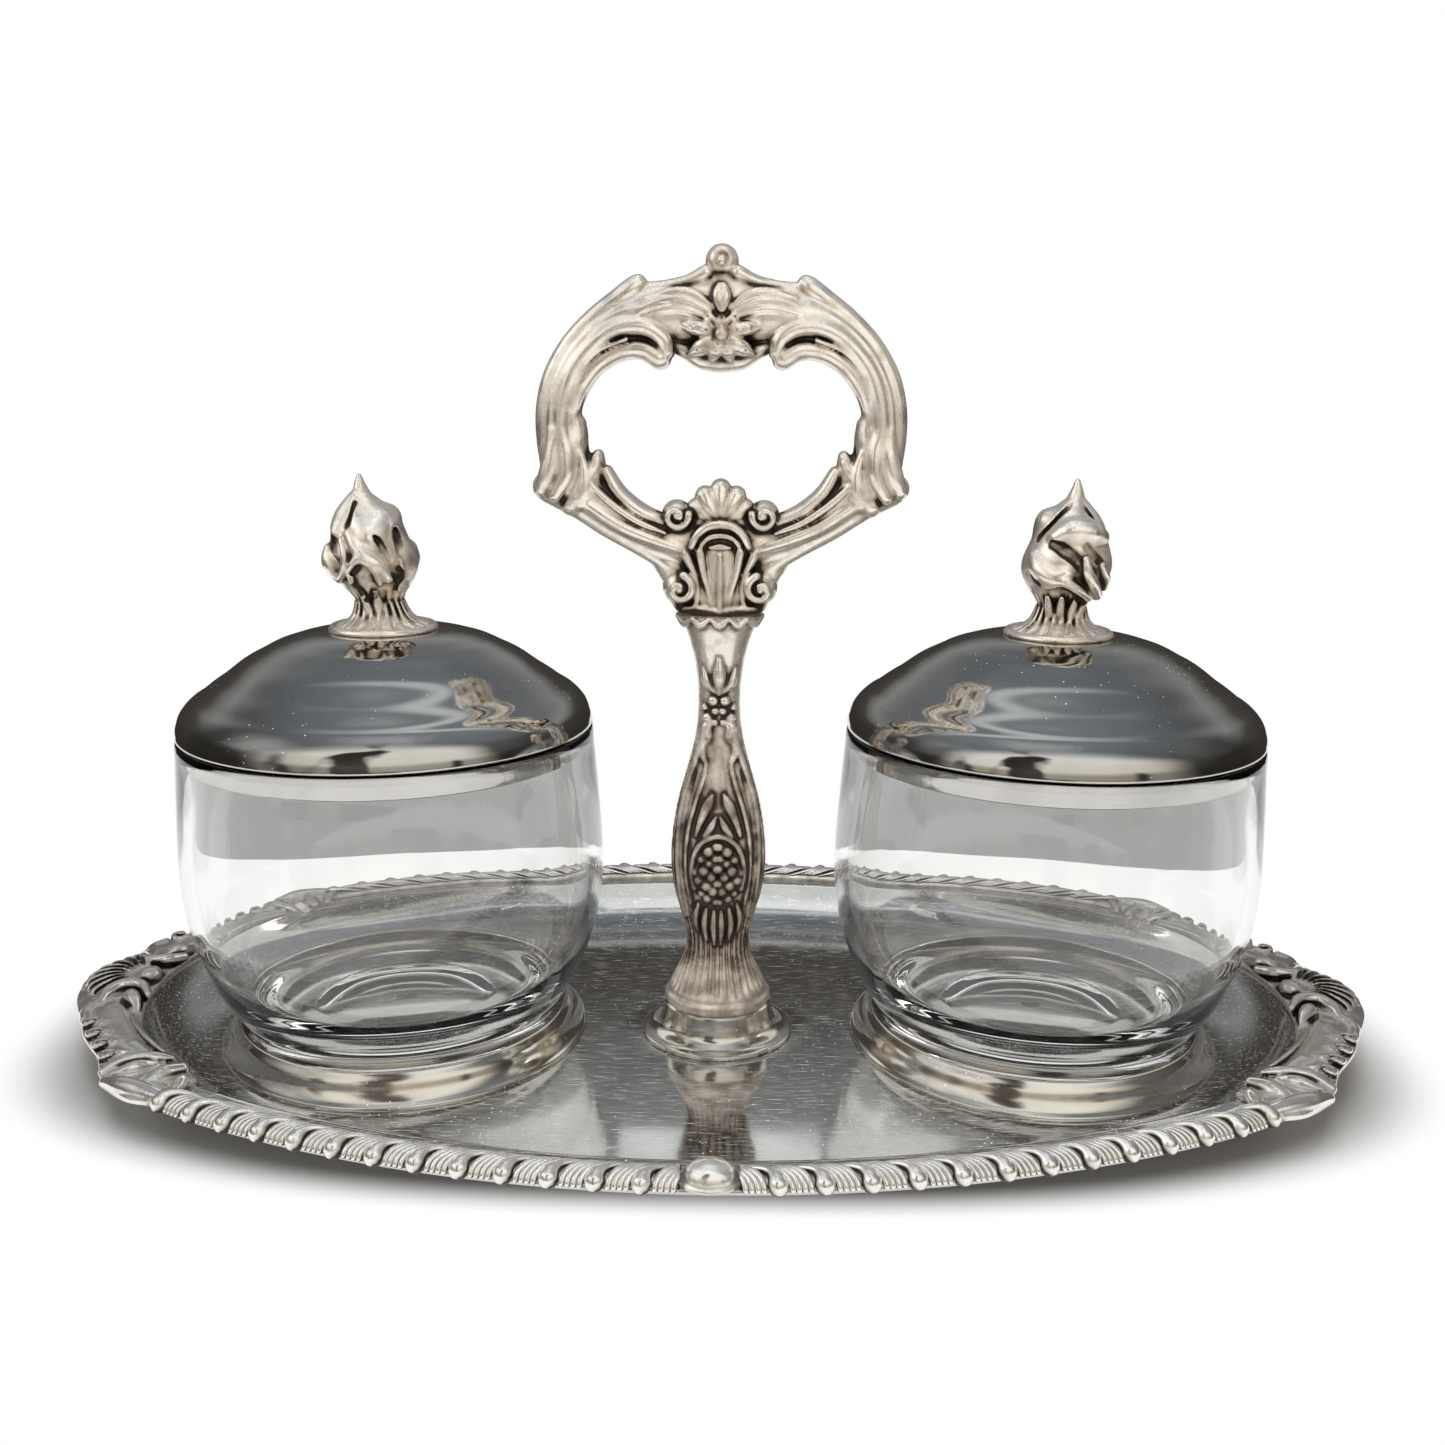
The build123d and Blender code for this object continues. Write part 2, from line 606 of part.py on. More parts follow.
collar_width = stem_half_width * stem_shares[-1][1]
with BuildPart() as handle_loop:
    with BuildSketch(Plane.XZ):
        with BuildLine():
            for side in (1, -1):
                arm = loop_points(loop_arm_shares, side)
                flank = loop_points(loop_side_shares, side)
                Polyline((0, stem_top), (side * collar_width, stem_top), arm[0])
                Spline(*arm)
                Line(arm[-1], flank[0])
                Spline(*flank)
                Polyline(*loop_points(loop_crown_shares, side))
        make_face()
        with BuildLine():
            for side in (1, -1):
                Polyline(*loop_points(hole_top_shares, side))
                Spline(*loop_points(hole_side_shares, side))
                Polyline(*loop_points(hole_bump_shares, side))
                Spline(*loop_points(hole_low_shares, side))
                Polyline(*loop_points(hole_shell_shares, side))
        make_face(mode=Mode.SUBTRACT)
    extrude(amount=loop_plate / 2, both=True)
    for side in (1, -1):
        with BuildLine(Plane.XZ) as rib_path:
            Spline(*loop_points(rib_shares, side))
        with BuildSketch(Plane(origin=rib_path.line @ 0, z_dir=rib_path.line % 0)):
            Circle(loop_rib_radius)
        sweep(path=rib_path.line)
    # Volutes, shoulder knobs and wing tips
    with BuildSketch(Plane.XZ):
        for across, up, size in volutes_shares:
            with Locations(*loop_points([(across, up)], 1), *loop_points([(across, up)], -1)):
                Circle(loop_half_width * size)
    extrude(amount=volute_thick / 2, both=True)
    # Flower on the crown, shell over the keystone, and the knob on top
    with BuildSketch(Plane.XZ):
        flower = loop_points([(0, flower_centre_share)])[0]
        with Locations(flower):
            Circle(knob_radius)
            with PolarLocations(petal_reach_share * knob_radius, flower_petals, start_angle=90):
                Circle(petal_share * knob_radius)
        shell = loop_points([(0, shell_centre_share)])[0]
        with Locations(shell):
            with PolarLocations(
                    petal_reach_share * knob_radius, shell_lobes, start_angle=90 - shell_lobe_fan / 2,
                    angular_range=shell_lobe_fan, endpoint=True):
                Circle(petal_share * knob_radius)
        with Locations((0, stem_top + loop_height - knob_radius)):
            Circle(knob_radius)
    extrude(amount=flower_thick / 2, both=True)
    # Collar that meets the stem, with the rod's threaded socket
    with BuildSketch(Plane.XY.offset(stem_top)):
        Ellipse(collar_width, collar_width * stem_shares[-1][2])
    with BuildSketch(Plane.XY.offset(stem_top + tie_rod_grip + tie_rod_radius)):
        Ellipse(knob_radius * collar_top_shares[0], knob_radius * collar_top_shares[1])
    loft()
    with Locations((0, 0, stem_top)):
        Cylinder(
            tie_rod_radius + tie_rod_thread_gap, tie_rod_grip,
            align=(Align.CENTER, Align.CENTER, Align.MIN), mode=Mode.SUBTRACT)
save(handle_loop.part, "handle_loop")

# Tie rod, washer and nut: they clamp tray, socket, stem and loop together
washer_top = dimple_top - tray_sheet
nut_top = washer_top - tie_washer_thick
rod_bottom = nut_top - tie_nut_height - tie_rod_tail

with BuildPart() as tie_rod:
    with BuildSketch(Plane.XY.offset(rod_bottom)):
        Circle(tie_rod_radius)
    extrude(amount=stem_top + tie_rod_grip - rod_bottom)
save(tie_rod.part, "handle_tie_rod")

with BuildPart() as tie_washer:
    with BuildSketch(Plane.XY.offset(nut_top)):
        Circle(tie_washer_radius)
        Circle(tie_rod_hole, mode=Mode.SUBTRACT)
    extrude(amount=tie_washer_thick)
save(tie_washer.part, "tie_rod_washer")

with BuildPart() as tie_nut:
    with BuildSketch(Plane.XY.offset(nut_top - tie_nut_height)):
        RegularPolygon(tie_nut_flats / 2, side_count=6, major_radius=False)
        Circle(tie_rod_radius + tie_rod_thread_gap, mode=Mode.SUBTRACT)
    extrude(amount=tie_nut_height)
save(tie_nut.part, "tie_rod_nut")
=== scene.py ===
import bpy
import bmesh
import numpy as np
from math import atan2, cos, degrees, hypot, pi, radians, sin, sqrt
from mathutils import Matrix, Vector


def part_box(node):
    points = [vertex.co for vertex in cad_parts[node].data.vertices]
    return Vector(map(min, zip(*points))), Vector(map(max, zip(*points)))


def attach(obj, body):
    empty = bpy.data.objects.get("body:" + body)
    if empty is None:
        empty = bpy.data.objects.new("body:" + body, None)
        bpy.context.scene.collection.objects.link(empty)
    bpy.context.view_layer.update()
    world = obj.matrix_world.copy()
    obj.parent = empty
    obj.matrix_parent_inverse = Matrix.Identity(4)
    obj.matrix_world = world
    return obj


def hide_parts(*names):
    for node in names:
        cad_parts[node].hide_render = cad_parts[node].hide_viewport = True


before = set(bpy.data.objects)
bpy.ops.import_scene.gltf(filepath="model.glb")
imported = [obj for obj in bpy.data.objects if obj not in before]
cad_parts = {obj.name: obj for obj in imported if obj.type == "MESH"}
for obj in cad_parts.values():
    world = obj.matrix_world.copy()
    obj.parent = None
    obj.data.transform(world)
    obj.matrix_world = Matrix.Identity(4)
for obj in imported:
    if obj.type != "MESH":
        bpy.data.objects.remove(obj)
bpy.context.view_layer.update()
mm = 0.001

# Twin-jar condiment server. Shapes are given in millimetres, in the CAD's own frame.


def middleX(node):  # where a CAD node's middle lies along x, in mm
    low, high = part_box(node)
    return (low[0] + high[0]) / 2 / mm


def addObject(name, data):
    thing = bpy.data.objects.new(name, data)
    bpy.context.collection.objects.link(thing)
    return thing


# Camera: solved from the photo's circles and ovals, 1445 x 1445 pixels
photoCamera = {
    "frame": 1445, "focal": 1387.2, "centreX": 718.8, "centreY": 790.4, "sensor": 36, "nearest": 10,
    "distance": 311.6, "height": 152.4, "pitch": 16.21, "roll": 0.37, "turn": 0.8,
}


def makeCamera(c):
    data = bpy.data.cameras.new("photoCamera")
    data.sensor_width = c["sensor"]
    data.lens = c["focal"] / c["frame"] * c["sensor"]
    data.shift_x = 0.5 - c["centreX"] / c["frame"]
    data.shift_y = c["centreY"] / c["frame"] - 0.5
    data.clip_start = c["nearest"] * mm
    pitch, roll = radians(c["pitch"]), radians(c["roll"])
    forward = Vector((0, cos(pitch), -sin(pitch)))
    level = Vector((1, 0, 0))
    up = level.cross(forward)
    right = cos(roll) * level + sin(roll) * up
    above = -sin(roll) * level + cos(roll) * up
    aim = Matrix((right, above, -forward)).transposed().to_4x4()
    place = Matrix.Translation(Vector((0, -c["distance"], c["height"])) * mm)
    camera = addObject("photoCamera", data)
    camera.matrix_world = Matrix.Rotation(radians(c["turn"]), 4, "Z") @ place @ aim
    bpy.context.scene.camera = camera


makeCamera(photoCamera)
print("camera set")


# Small helpers for nodes and meshes

def hexColour(text):  # sRGB hex to the linear colour that a socket takes
    parts = [int(text[k:k + 2], 16) / 255 for k in (1, 3, 5)]
    return (*[p / 12.92 if p <= 0.04045 else ((p + 0.055) / 1.055) ** 2.4 for p in parts], 1)


def addNode(tree, kind, inputs=None, **settings):  # an input takes a value, a socket, or a node's first output
    node = tree.nodes.new(kind)
    for name, value in settings.items():
        setattr(node, name, value)
    for key, value in (inputs or {}).items():
        if isinstance(value, bpy.types.Node):
            value = value.outputs[0]
        if isinstance(value, bpy.types.NodeSocket):
            tree.links.new(value, node.inputs[key])
        else:
            node.inputs[key].default_value = value
    return node


def startMaterial(name):
    material = bpy.data.materials.new(name)
    material.use_nodes = True
    material.node_tree.nodes.clear()
    return material, material.node_tree


def rampStops(node, stops):  # colour ramp from (place, hex) pairs
    ramp = node.color_ramp
    for place, colour in stops[2:]:
        ramp.elements.new(place)
    for element, (place, colour) in zip(ramp.elements, stops):
        element.position = place
        element.color = hexColour(colour)
    return node


def meshFromFaces(name, verts, faces, edges=()):  # faces with any number of corners
    mesh = bpy.data.meshes.new(name)
    mesh.from_pydata([tuple(c * mm for c in v) for v in verts], edges, faces)
    return mesh


def meshFromArrays(name, verts, quads):
    mesh = bpy.data.meshes.new(name)
    mesh.vertices.add(len(verts))
    mesh.vertices.foreach_set("co", (np.asarray(verts, np.float32) * mm).ravel())
    mesh.loops.add(quads.size)
    mesh.loops.foreach_set("vertex_index", quads.astype(np.int32).ravel())
    mesh.polygons.add(len(quads))
    mesh.polygons.foreach_set("loop_start", np.arange(0, quads.size, 4, dtype=np.int32))
    mesh.update(calc_edges=True)
    mesh.validate()
    return mesh


def setHollow(mesh, values):  # how deep in a recess each point lies, which the cast silver reads
    mesh.attributes.new("hollow", "FLOAT", "POINT").data.foreach_set("value", np.array(values, np.float32))
    return mesh


def facedOut(mesh):
    work = bmesh.new()
    work.from_mesh(mesh)
    bmesh.ops.recalc_face_normals(work, faces=work.faces)
    work.to_mesh(mesh)
    work.free()
    return mesh


def placePiece(name, mesh, material, body, node):
    mesh.polygons.foreach_set("use_smooth", np.ones(len(mesh.polygons), bool))
    mesh.materials.clear()
    mesh.materials.append(material)
    piece = addObject(name, mesh)
    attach(piece, body)
    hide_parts(node)


def placeCasting(name, skin, material, body, node):
    verts, quads, hollow = skin
    mesh = setHollow(meshFromArrays(name, verts, quads), hollow)
    placePiece(name, mesh, material, body, node)


def smoothPath(points, per=6):  # curve through the points, each row with its radius or none
    p = np.array(points, float)
    ends = np.vstack([2 * p[0] - p[1], p, 2 * p[-1] - p[-2]])
    out = []
    for k in range(1, len(ends) - 2):
        a, b, c, d = ends[k - 1:k + 3]
        for t in np.arange(per) / per:
            out.append(0.5 * (2 * b + (c - a) * t + (2 * a - 5 * b + 4 * c - d) * t ** 2
                              + (3 * b - a - 3 * c + d) * t ** 3))
    out.append(ends[-2])
    return np.array(out)


def turnedMesh(name, outline, x, steps):  # outline of (radius, height) turned about a vertical line
    angles = np.arange(steps) * 2 * pi / steps
    verts, faces, rows = [], [], []
    for r, z in np.array(outline, float):
        if r < 1e-6:
            rows.append([len(verts)] * steps)
            verts.append((x, 0, z))
        else:
            rows.append(list(range(len(verts), len(verts) + steps)))
            verts += [(x + r * cos(a), r * sin(a), z) for a in angles]
    loops = list(zip(rows, rows[1:]))
    if outline[0][0] > 1e-6:
        loops.append((rows[-1], rows[0]))
    for low, high in loops:
        for k in range(steps):
            n = (k + 1) % steps
            face = list(dict.fromkeys((low[k], low[n], high[n], high[k])))
            if len(face) > 2:
                faces.append(face)
    return facedOut(meshFromFaces(name, verts, faces))


# Castings: a distance field on a grid, melted together from strokes and blobs, then skinned

castingRules = {
    "far": 9, "outside": 2,  # the field where nothing is near, and round the grid
    "margin": 1.6,  # mm of field that is worked out round each stroke, at least
    "recess": 1.2, "looks": [(0.5, 0.5), (1.5, 0.45), (2.6, 0.45)],  # hollow: (how many recesses out, weight)
    "coilPoints": 10, "coilStart": 0.3, "coilRise": 0.5, "coilThin": 0.6, "coilBall": 0.26, "ballBlend": 0.25,
}


def newCasting(low, high, step):
    counts = np.ceil((np.array(high) - np.array(low)) / step).astype(int) + 1
    return {"low": np.array(low, float), "step": step, "field": np.full(counts, castingRules["far"], np.float32)}


def windowOf(casting, low, high):
    step = casting["step"]
    first = np.maximum(np.floor((np.array(low) - casting["low"]) / step).astype(int), 0)
    last = np.minimum(np.ceil((np.array(high) - casting["low"]) / step).astype(int) + 1, casting["field"].shape)
    if (last <= first).any():
        return None, None
    axes = [casting["low"][k] + step * np.arange(first[k], last[k]) for k in range(3)]
    grid = np.meshgrid(*[a.astype(np.float32) for a in axes], indexing="ij", sparse=True)
    return tuple(slice(a, b) for a, b in zip(first, last)), grid


def melt(casting, where, near, blend, cut=False):
    old = casting["field"][where]
    if cut:
        h = np.clip(0.5 - 0.5 * (old + near) / blend, 0, 1)
        casting["field"][where] = old * (1 - h) - near * h + blend * h * (1 - h)
    else:
        h = np.clip(0.5 + 0.5 * (old - near) / blend, 0, 1)
        casting["field"][where] = old * (1 - h) + near * h - blend * h * (1 - h)


def spread(casting, size, blend):  # how far from its line a stroke changes the field
    return size + max(blend, castingRules["margin"]) + 2 * casting["step"]


def stroke(casting, points, blend=0.5, flat=1.0, cut=False, per=5):  # points are (x, y, z, radius)
    path = smoothPath(points, per) if len(points) > 2 else np.array(points, float)
    pad = spread(casting, path[:, 3].max() * max(1, flat), blend)
    where, grid = windowOf(casting, path[:, :3].min(0) - pad, path[:, :3].max(0) + pad)
    if where is None:
        return
    local = {"low": np.array([g.ravel()[0] for g in grid]), "step": casting["step"],
             "field": np.full(casting["field"][where].shape, castingRules["far"], np.float32)}
    for a, b in zip(path, path[1:]):
        reach = spread(casting, max(a[3], b[3]) * max(1, flat), blend)
        part, axes = windowOf(local, np.minimum(a, b)[:3] - reach, np.maximum(a, b)[:3] + reach)
        if part is None:
            continue
        x, y, z = axes
        ux, uy, uz = b[0] - a[0], (b[1] - a[1]) / flat, b[2] - a[2]
        px, py, pz = x - a[0], (y - a[1]) / flat, z - a[2]
        t = np.clip((px * ux + py * uy + pz * uz) / max(ux * ux + uy * uy + uz * uz, 1e-9), 0, 1)
        gap = np.sqrt((px - t * ux) ** 2 + (py - t * uy) ** 2 + (pz - t * uz) ** 2) - (a[3] + t * (b[3] - a[3]))
        local["field"][part] = np.minimum(local["field"][part], gap)
    melt(casting, where, local["field"], blend, cut)


def blob(casting, centre, radii, blend=0.5, cut=False):
    radii = np.array(radii, float) * np.ones(3)
    pad = spread(casting, radii, blend)
    where, grid = windowOf(casting, np.array(centre) - pad, np.array(centre) + pad)
    if where is None:
        return
    x, y, z = [(g - c) / r for g, c, r in zip(grid, centre, radii)]
    melt(casting, where, (np.sqrt(x * x + y * y + z * z) - 1) * radii.min(), blend, cut)


def volute(casting, centre, radius, turns, depth, start=0.0, way=1, thick=0.9, plane="xz", blend=0.35):
    # a ball in the middle with a rope that winds out from it
    rules = castingRules

    def lay(across, along, lift):
        return np.array(centre, float) + ((across, -lift, along) if plane == "xz" else (across, along, lift))

    points = []
    for t in np.linspace(0, 1, int(rules["coilPoints"] * turns) + 4):
        angle = start + way * 2 * pi * turns * t
        reach = radius * (rules["coilStart"] + (1 - rules["coilStart"]) * t)
        spot = lay(reach * cos(angle), reach * sin(angle), depth * (1 - rules["coilRise"] * t))
        points.append((*spot, thick * (rules["coilThin"] + (1 - rules["coilThin"]) * t)))
    stroke(casting, points, blend, per=2)
    blob(casting, lay(0, 0, depth), radius * rules["coilBall"], rules["ballBlend"])


def mirrorCasting(casting, axis):  # the grid has to start at 0 along that axis
    field = casting["field"]
    flipped = np.flip(field, axis)
    keep = [slice(None)] * 3
    keep[axis] = slice(0, -1)
    casting["field"] = np.concatenate([flipped[tuple(keep)], field], axis)
    casting["low"][axis] = -casting["step"] * (field.shape[axis] - 1)


def cutFlat(casting, height, side=1):  # keeps what lies above a level, or below it where side is -1
    levels = casting["low"][2] + casting["step"] * np.arange(casting["field"].shape[2])
    casting["field"] = np.maximum(casting["field"], (side * (height - levels)).astype(np.float32))


def skinCasting(casting, recess=castingRules["recess"]):  # surface of the field, with how hollow each point lies
    field = np.pad(casting["field"], 1, constant_values=castingRules["outside"])
    low = casting["low"] - casting["step"]
    inside = field < 0
    size = np.array(field.shape) - 1
    spots = [(i, j, k) for i in (0, 1) for j in (0, 1) for k in (0, 1)]
    count = sum(inside[i:size[0] + i, j:size[1] + j, k:size[2] + k].astype(np.int8) for i, j, k in spots)
    active = (count > 0) & (count < 8)
    number = np.full(active.shape, -1, np.int64)
    cells = np.argwhere(active)
    number[active] = np.arange(len(cells))
    total, hits = np.zeros((len(cells), 3)), np.zeros(len(cells))
    for a in spots:
        for axis in range(3):
            if a[axis]:
                continue
            b = list(a)
            b[axis] = 1
            fa = field[tuple((cells + a).T)]
            fb = field[tuple((cells + b).T)]
            crossed = (fa < 0) != (fb < 0)
            t = fa[crossed] / (fa[crossed] - fb[crossed])
            spot = np.array(a, float) * np.ones((crossed.sum(), 1))
            spot[:, axis] += t
            total[crossed] += spot
            hits[crossed] += 1
    verts = (cells + total / hits[:, None]) * casting["step"] + low
    quads = []
    for axis in range(3):
        u, v = (axis + 1) % 3, (axis + 2) % 3
        here = [slice(1, -1)] * 3
        there = [slice(1, -1)] * 3
        here[axis], there[axis] = slice(0, -1), slice(1, None)
        first, second = inside[tuple(here)], inside[tuple(there)]
        for solidFirst in (True, False):
            edges = np.argwhere(first & ~second if solidFirst else ~first & second)
            edges[:, u] += 1
            edges[:, v] += 1
            ring = []
            for du, dv in ((1, 1), (0, 1), (0, 0), (1, 0)):
                cell = edges.copy()
                cell[:, u] -= du
                cell[:, v] -= dv
                ring.append(number[tuple(cell.T)])
            ring = np.stack(ring, 1)
            quads.append(ring if solidFirst else ring[:, ::-1])
    quads = np.vstack(quads)

    def sample(points):
        grid = np.clip((points - low) / casting["step"], 0, np.array(field.shape) - 1.001)
        base = grid.astype(int)
        part = grid - base
        value = 0
        for i, j, k in spots:
            weight = np.prod(np.where((i, j, k), part, 1 - part), axis=1)
            value = value + weight * field[base[:, 0] + i, base[:, 1] + j, base[:, 2] + k]
        return value

    nudge = casting["step"]
    normal = np.stack([sample(verts + nudge * e) - sample(verts - nudge * e) for e in np.eye(3)], 1)
    normal /= np.maximum(np.linalg.norm(normal, axis=1), 1e-6)[:, None]
    # how enclosed each point is, sampled like ambient occlusion; the cast silver paints tarnish and shade from it
    hollow = 0
    for out, weight in castingRules["looks"]:
        away = out * recess
        hollow = hollow + weight * np.clip(1 - sample(verts + away * normal) / away, 0, 1)
    return verts, quads, np.clip(hollow, 0, 1)


def mirrorSkin(skin):  # the same skin on the other side of the middle
    verts, quads, hollow = skin
    return verts * (-1, 1, 1), quads[:, ::-1], hollow


# Materials, with every size in mm

polishedSilver = {
    "base": "#D4D2CD", "dull": "#BDBBB6", "roughness": 0.05, "rougher": 0.13,
    "hazeSize": 18, "hazeFrom": 0.35, "hazeTo": 0.75,
    "scratchSize": 0.35, "scratchDepth": 0.004, "scratchBump": 0.35,
    "scratchShow": 0, "scratchFrom": 0.54, "scratchTo": 0.68, "scratchRoughness": 0.5,
    "speckSize": 1.7, "speckShare": 0.05, "speckEdge": 2.2,
    "dustFrom": 0.46, "dustTo": 0.62, "dustRoughness": 0.4, "dustCover": 0.85,
}


def silverPlate(name, s, along=(1, 1, 1)):
    # Electroplated silver on brass, buffed bright: a mirror with fine wiping scratches, haze and dust specks.
    material, tree = startMaterial(name)
    place = addNode(tree, "ShaderNodeTexCoord").outputs["Object"]
    haze = addNode(tree, "ShaderNodeTexNoise", {"Vector": place, "Scale": 1 / (s["hazeSize"] * mm), "Detail": 5})
    tone = rampStops(addNode(tree, "ShaderNodeValToRGB", {"Fac": haze.outputs["Fac"]}),
                     [(s["hazeFrom"], s["base"]), (s["hazeTo"], s["dull"])])
    rough = addNode(tree, "ShaderNodeMapRange", {
        "Value": haze.outputs["Fac"], "From Min": s["hazeFrom"], "From Max": s["hazeTo"],
        "To Min": s["roughness"], "To Max": s["rougher"]})

    # dust lies in patches, as specks that dull the metal
    speck = addNode(tree, "ShaderNodeTexVoronoi", {"Vector": place, "Scale": 1 / (s["speckSize"] * mm)})
    dust = addNode(tree, "ShaderNodeMapRange", {
        "Value": speck.outputs["Distance"], "From Min": s["speckShare"], "From Max": s["speckShare"] * s["speckEdge"],
        "To Min": 1, "To Max": 0})
    patches = addNode(tree, "ShaderNodeMapRange", {
        "Value": haze.outputs["Fac"], "From Min": s["dustFrom"], "From Max": s["dustTo"]})
    dusty = addNode(tree, "ShaderNodeMath", {0: dust, 1: patches}, operation="MULTIPLY")
    rough = addNode(tree, "ShaderNodeMath", {0: dusty, 1: s["dustRoughness"], 2: rough}, operation="MULTIPLY_ADD")
    bare = addNode(tree, "ShaderNodeMath", {0: dusty, 1: -s["dustCover"], 2: 1}, operation="MULTIPLY_ADD")

    stretched = addNode(tree, "ShaderNodeMapping", {"Vector": place, "Scale": along})
    scratch = addNode(tree, "ShaderNodeTexNoise", {
        "Vector": stretched, "Scale": 1 / (s["scratchSize"] * mm), "Detail": 3, "Roughness": 0.7})
    if s["scratchShow"]:  # the coarser wiping lines catch the light
        lines = addNode(tree, "ShaderNodeMapRange", {
            "Value": scratch.outputs["Fac"], "From Min": s["scratchFrom"], "From Max": s["scratchTo"]})
        bare = addNode(tree, "ShaderNodeMath", {0: lines, 1: -s["scratchShow"], 2: bare}, operation="MULTIPLY_ADD")
        rough = addNode(tree, "ShaderNodeMath", {
            0: lines, 1: s["scratchRoughness"] * s["scratchShow"], 2: rough}, operation="MULTIPLY_ADD")
    bump = addNode(tree, "ShaderNodeBump", {
        "Height": scratch.outputs["Fac"], "Strength": s["scratchBump"], "Distance": s["scratchDepth"] * mm})
    shader = addNode(tree, "ShaderNodeBsdfPrincipled", {
        "Base Color": tone.outputs["Color"], "Metallic": bare, "Roughness": rough, "Normal": bump})
    addNode(tree, "ShaderNodeOutputMaterial", {"Surface": shader})
    return material


# Colours run from open tops to deep recesses; the deep end is tarnish together with painted shade.
agedShadedCasting = {
    "open": "#F3ECE1", "middle": "#B5A898", "deep": "#2C241C", "openTo": 0.45, "middleAt": 0.76,
    "toneSize": 4, "toneShare": 0.9, "roughness": 0.14, "rougher": 0.42, "roughFrom": 0.2, "roughTo": 0.9,
    "filmFrom": 0.4, "metalOpen": 0.92, "metalDeep": 0.6,
    "pitSize": 0.7, "pitDepth": 0.03, "pitBump": 0.5,
    "footDarken": 0, "darkenFrom": 92, "darkenTo": 58,
}


def castSilver(name, s):
    # Cast, plated and left to tarnish: bright rubbed tops, and in every recess a dull brown sulphide film together with
    # painted shade, both drawn from how hollow each point lies.
    material, tree = startMaterial(name)
    place = addNode(tree, "ShaderNodeTexCoord").outputs["Object"]
    hollow = addNode(tree, "ShaderNodeAttribute", attribute_name="hollow")
    tone = addNode(tree, "ShaderNodeTexNoise", {"Vector": place, "Scale": 1 / (s["toneSize"] * mm), "Detail": 6})
    stainAndShade = addNode(tree, "ShaderNodeMath", {
        0: tone.outputs["Fac"], 1: s["toneShare"], 2: hollow.outputs["Fac"]}, operation="MULTIPLY_ADD")
    if s["footDarken"]:  # darker and browner towards the foot, by height alone
        height = addNode(tree, "ShaderNodeSeparateXYZ", {0: place})
        foot = addNode(tree, "ShaderNodeMapRange", {
            "Value": height.outputs["Z"], "From Min": s["darkenFrom"] * mm, "From Max": s["darkenTo"] * mm,
            "To Max": s["footDarken"]}, interpolation_type="SMOOTHSTEP")
        stainAndShade = addNode(tree, "ShaderNodeMath", {0: stainAndShade, 1: foot}, operation="ADD")
    # the colour darkens towards deep with the random tone and, as tarnish and painted shade, with how hollow the point
    # lies
    colour = rampStops(addNode(tree, "ShaderNodeValToRGB", {"Fac": stainAndShade}),
                       [(s["openTo"], s["open"]), (s["middleAt"], s["middle"]), (1, s["deep"])])
    rough = addNode(tree, "ShaderNodeMapRange", {
        "Value": stainAndShade, "From Min": s["roughFrom"], "From Max": s["roughTo"],
        "To Min": s["roughness"], "To Max": s["rougher"]})
    metal = addNode(tree, "ShaderNodeMapRange", {
        "Value": stainAndShade, "From Min": s["filmFrom"], "To Min": s["metalOpen"], "To Max": s["metalDeep"]})
    pits = addNode(tree, "ShaderNodeTexNoise", {"Vector": place, "Scale": 1 / (s["pitSize"] * mm), "Detail": 3})
    bump = addNode(tree, "ShaderNodeBump", {
        "Height": pits.outputs["Fac"], "Strength": s["pitBump"], "Distance": s["pitDepth"] * mm})
    shader = addNode(tree, "ShaderNodeBsdfPrincipled", {
        "Base Color": colour.outputs["Color"], "Metallic": metal, "Roughness": rough, "Normal": bump})
    addNode(tree, "ShaderNodeOutputMaterial", {"Surface": shader})
    return material


tableGlass = {"colour": "#FDFDFC", "shadow": "#EFEFEE", "index": 1.5}


def clearGlass(name, g):
    # Soda-lime table glass, pressed and fire polished: colourless and smooth, and its shadow is only a tint.
    material, tree = startMaterial(name)
    glass = addNode(tree, "ShaderNodeBsdfPrincipled", {
        "Base Color": hexColour(g["colour"]), "Roughness": 0, "IOR": g["index"], "Transmission Weight": 1})
    through = addNode(tree, "ShaderNodeBsdfTransparent", {"Color": hexColour(g["shadow"])})
    path = addNode(tree, "ShaderNodeLightPath")
    shader = addNode(tree, "ShaderNodeMixShader", {0: path.outputs["Is Shadow Ray"], 1: glass, 2: through})
    addNode(tree, "ShaderNodeOutputMaterial", {"Surface": shader})
    return material


latheBrass = {"dark": "#B89A5A", "light": "#CDB274", "ringPitch": 1.2, "uneven": 1.5, "roughness": 0.3}


def turnedBrass(name, b):
    # Turned brass hardware, hidden in use: bright, with fine lathe rings.
    material, tree = startMaterial(name)
    place = addNode(tree, "ShaderNodeTexCoord").outputs["Object"]
    rings = addNode(tree, "ShaderNodeTexWave", {
        "Vector": place, "Scale": 1 / (b["ringPitch"] * mm), "Distortion": b["uneven"]}, bands_direction="Z")
    colour = rampStops(addNode(tree, "ShaderNodeValToRGB", {"Fac": rings.outputs["Fac"]}),
                       [(0, b["dark"]), (1, b["light"])])
    shader = addNode(tree, "ShaderNodeBsdfPrincipled", {
        "Base Color": colour.outputs["Color"], "Metallic": 1, "Roughness": b["roughness"]})
    addNode(tree, "ShaderNodeOutputMaterial", {"Surface": shader})
    return material


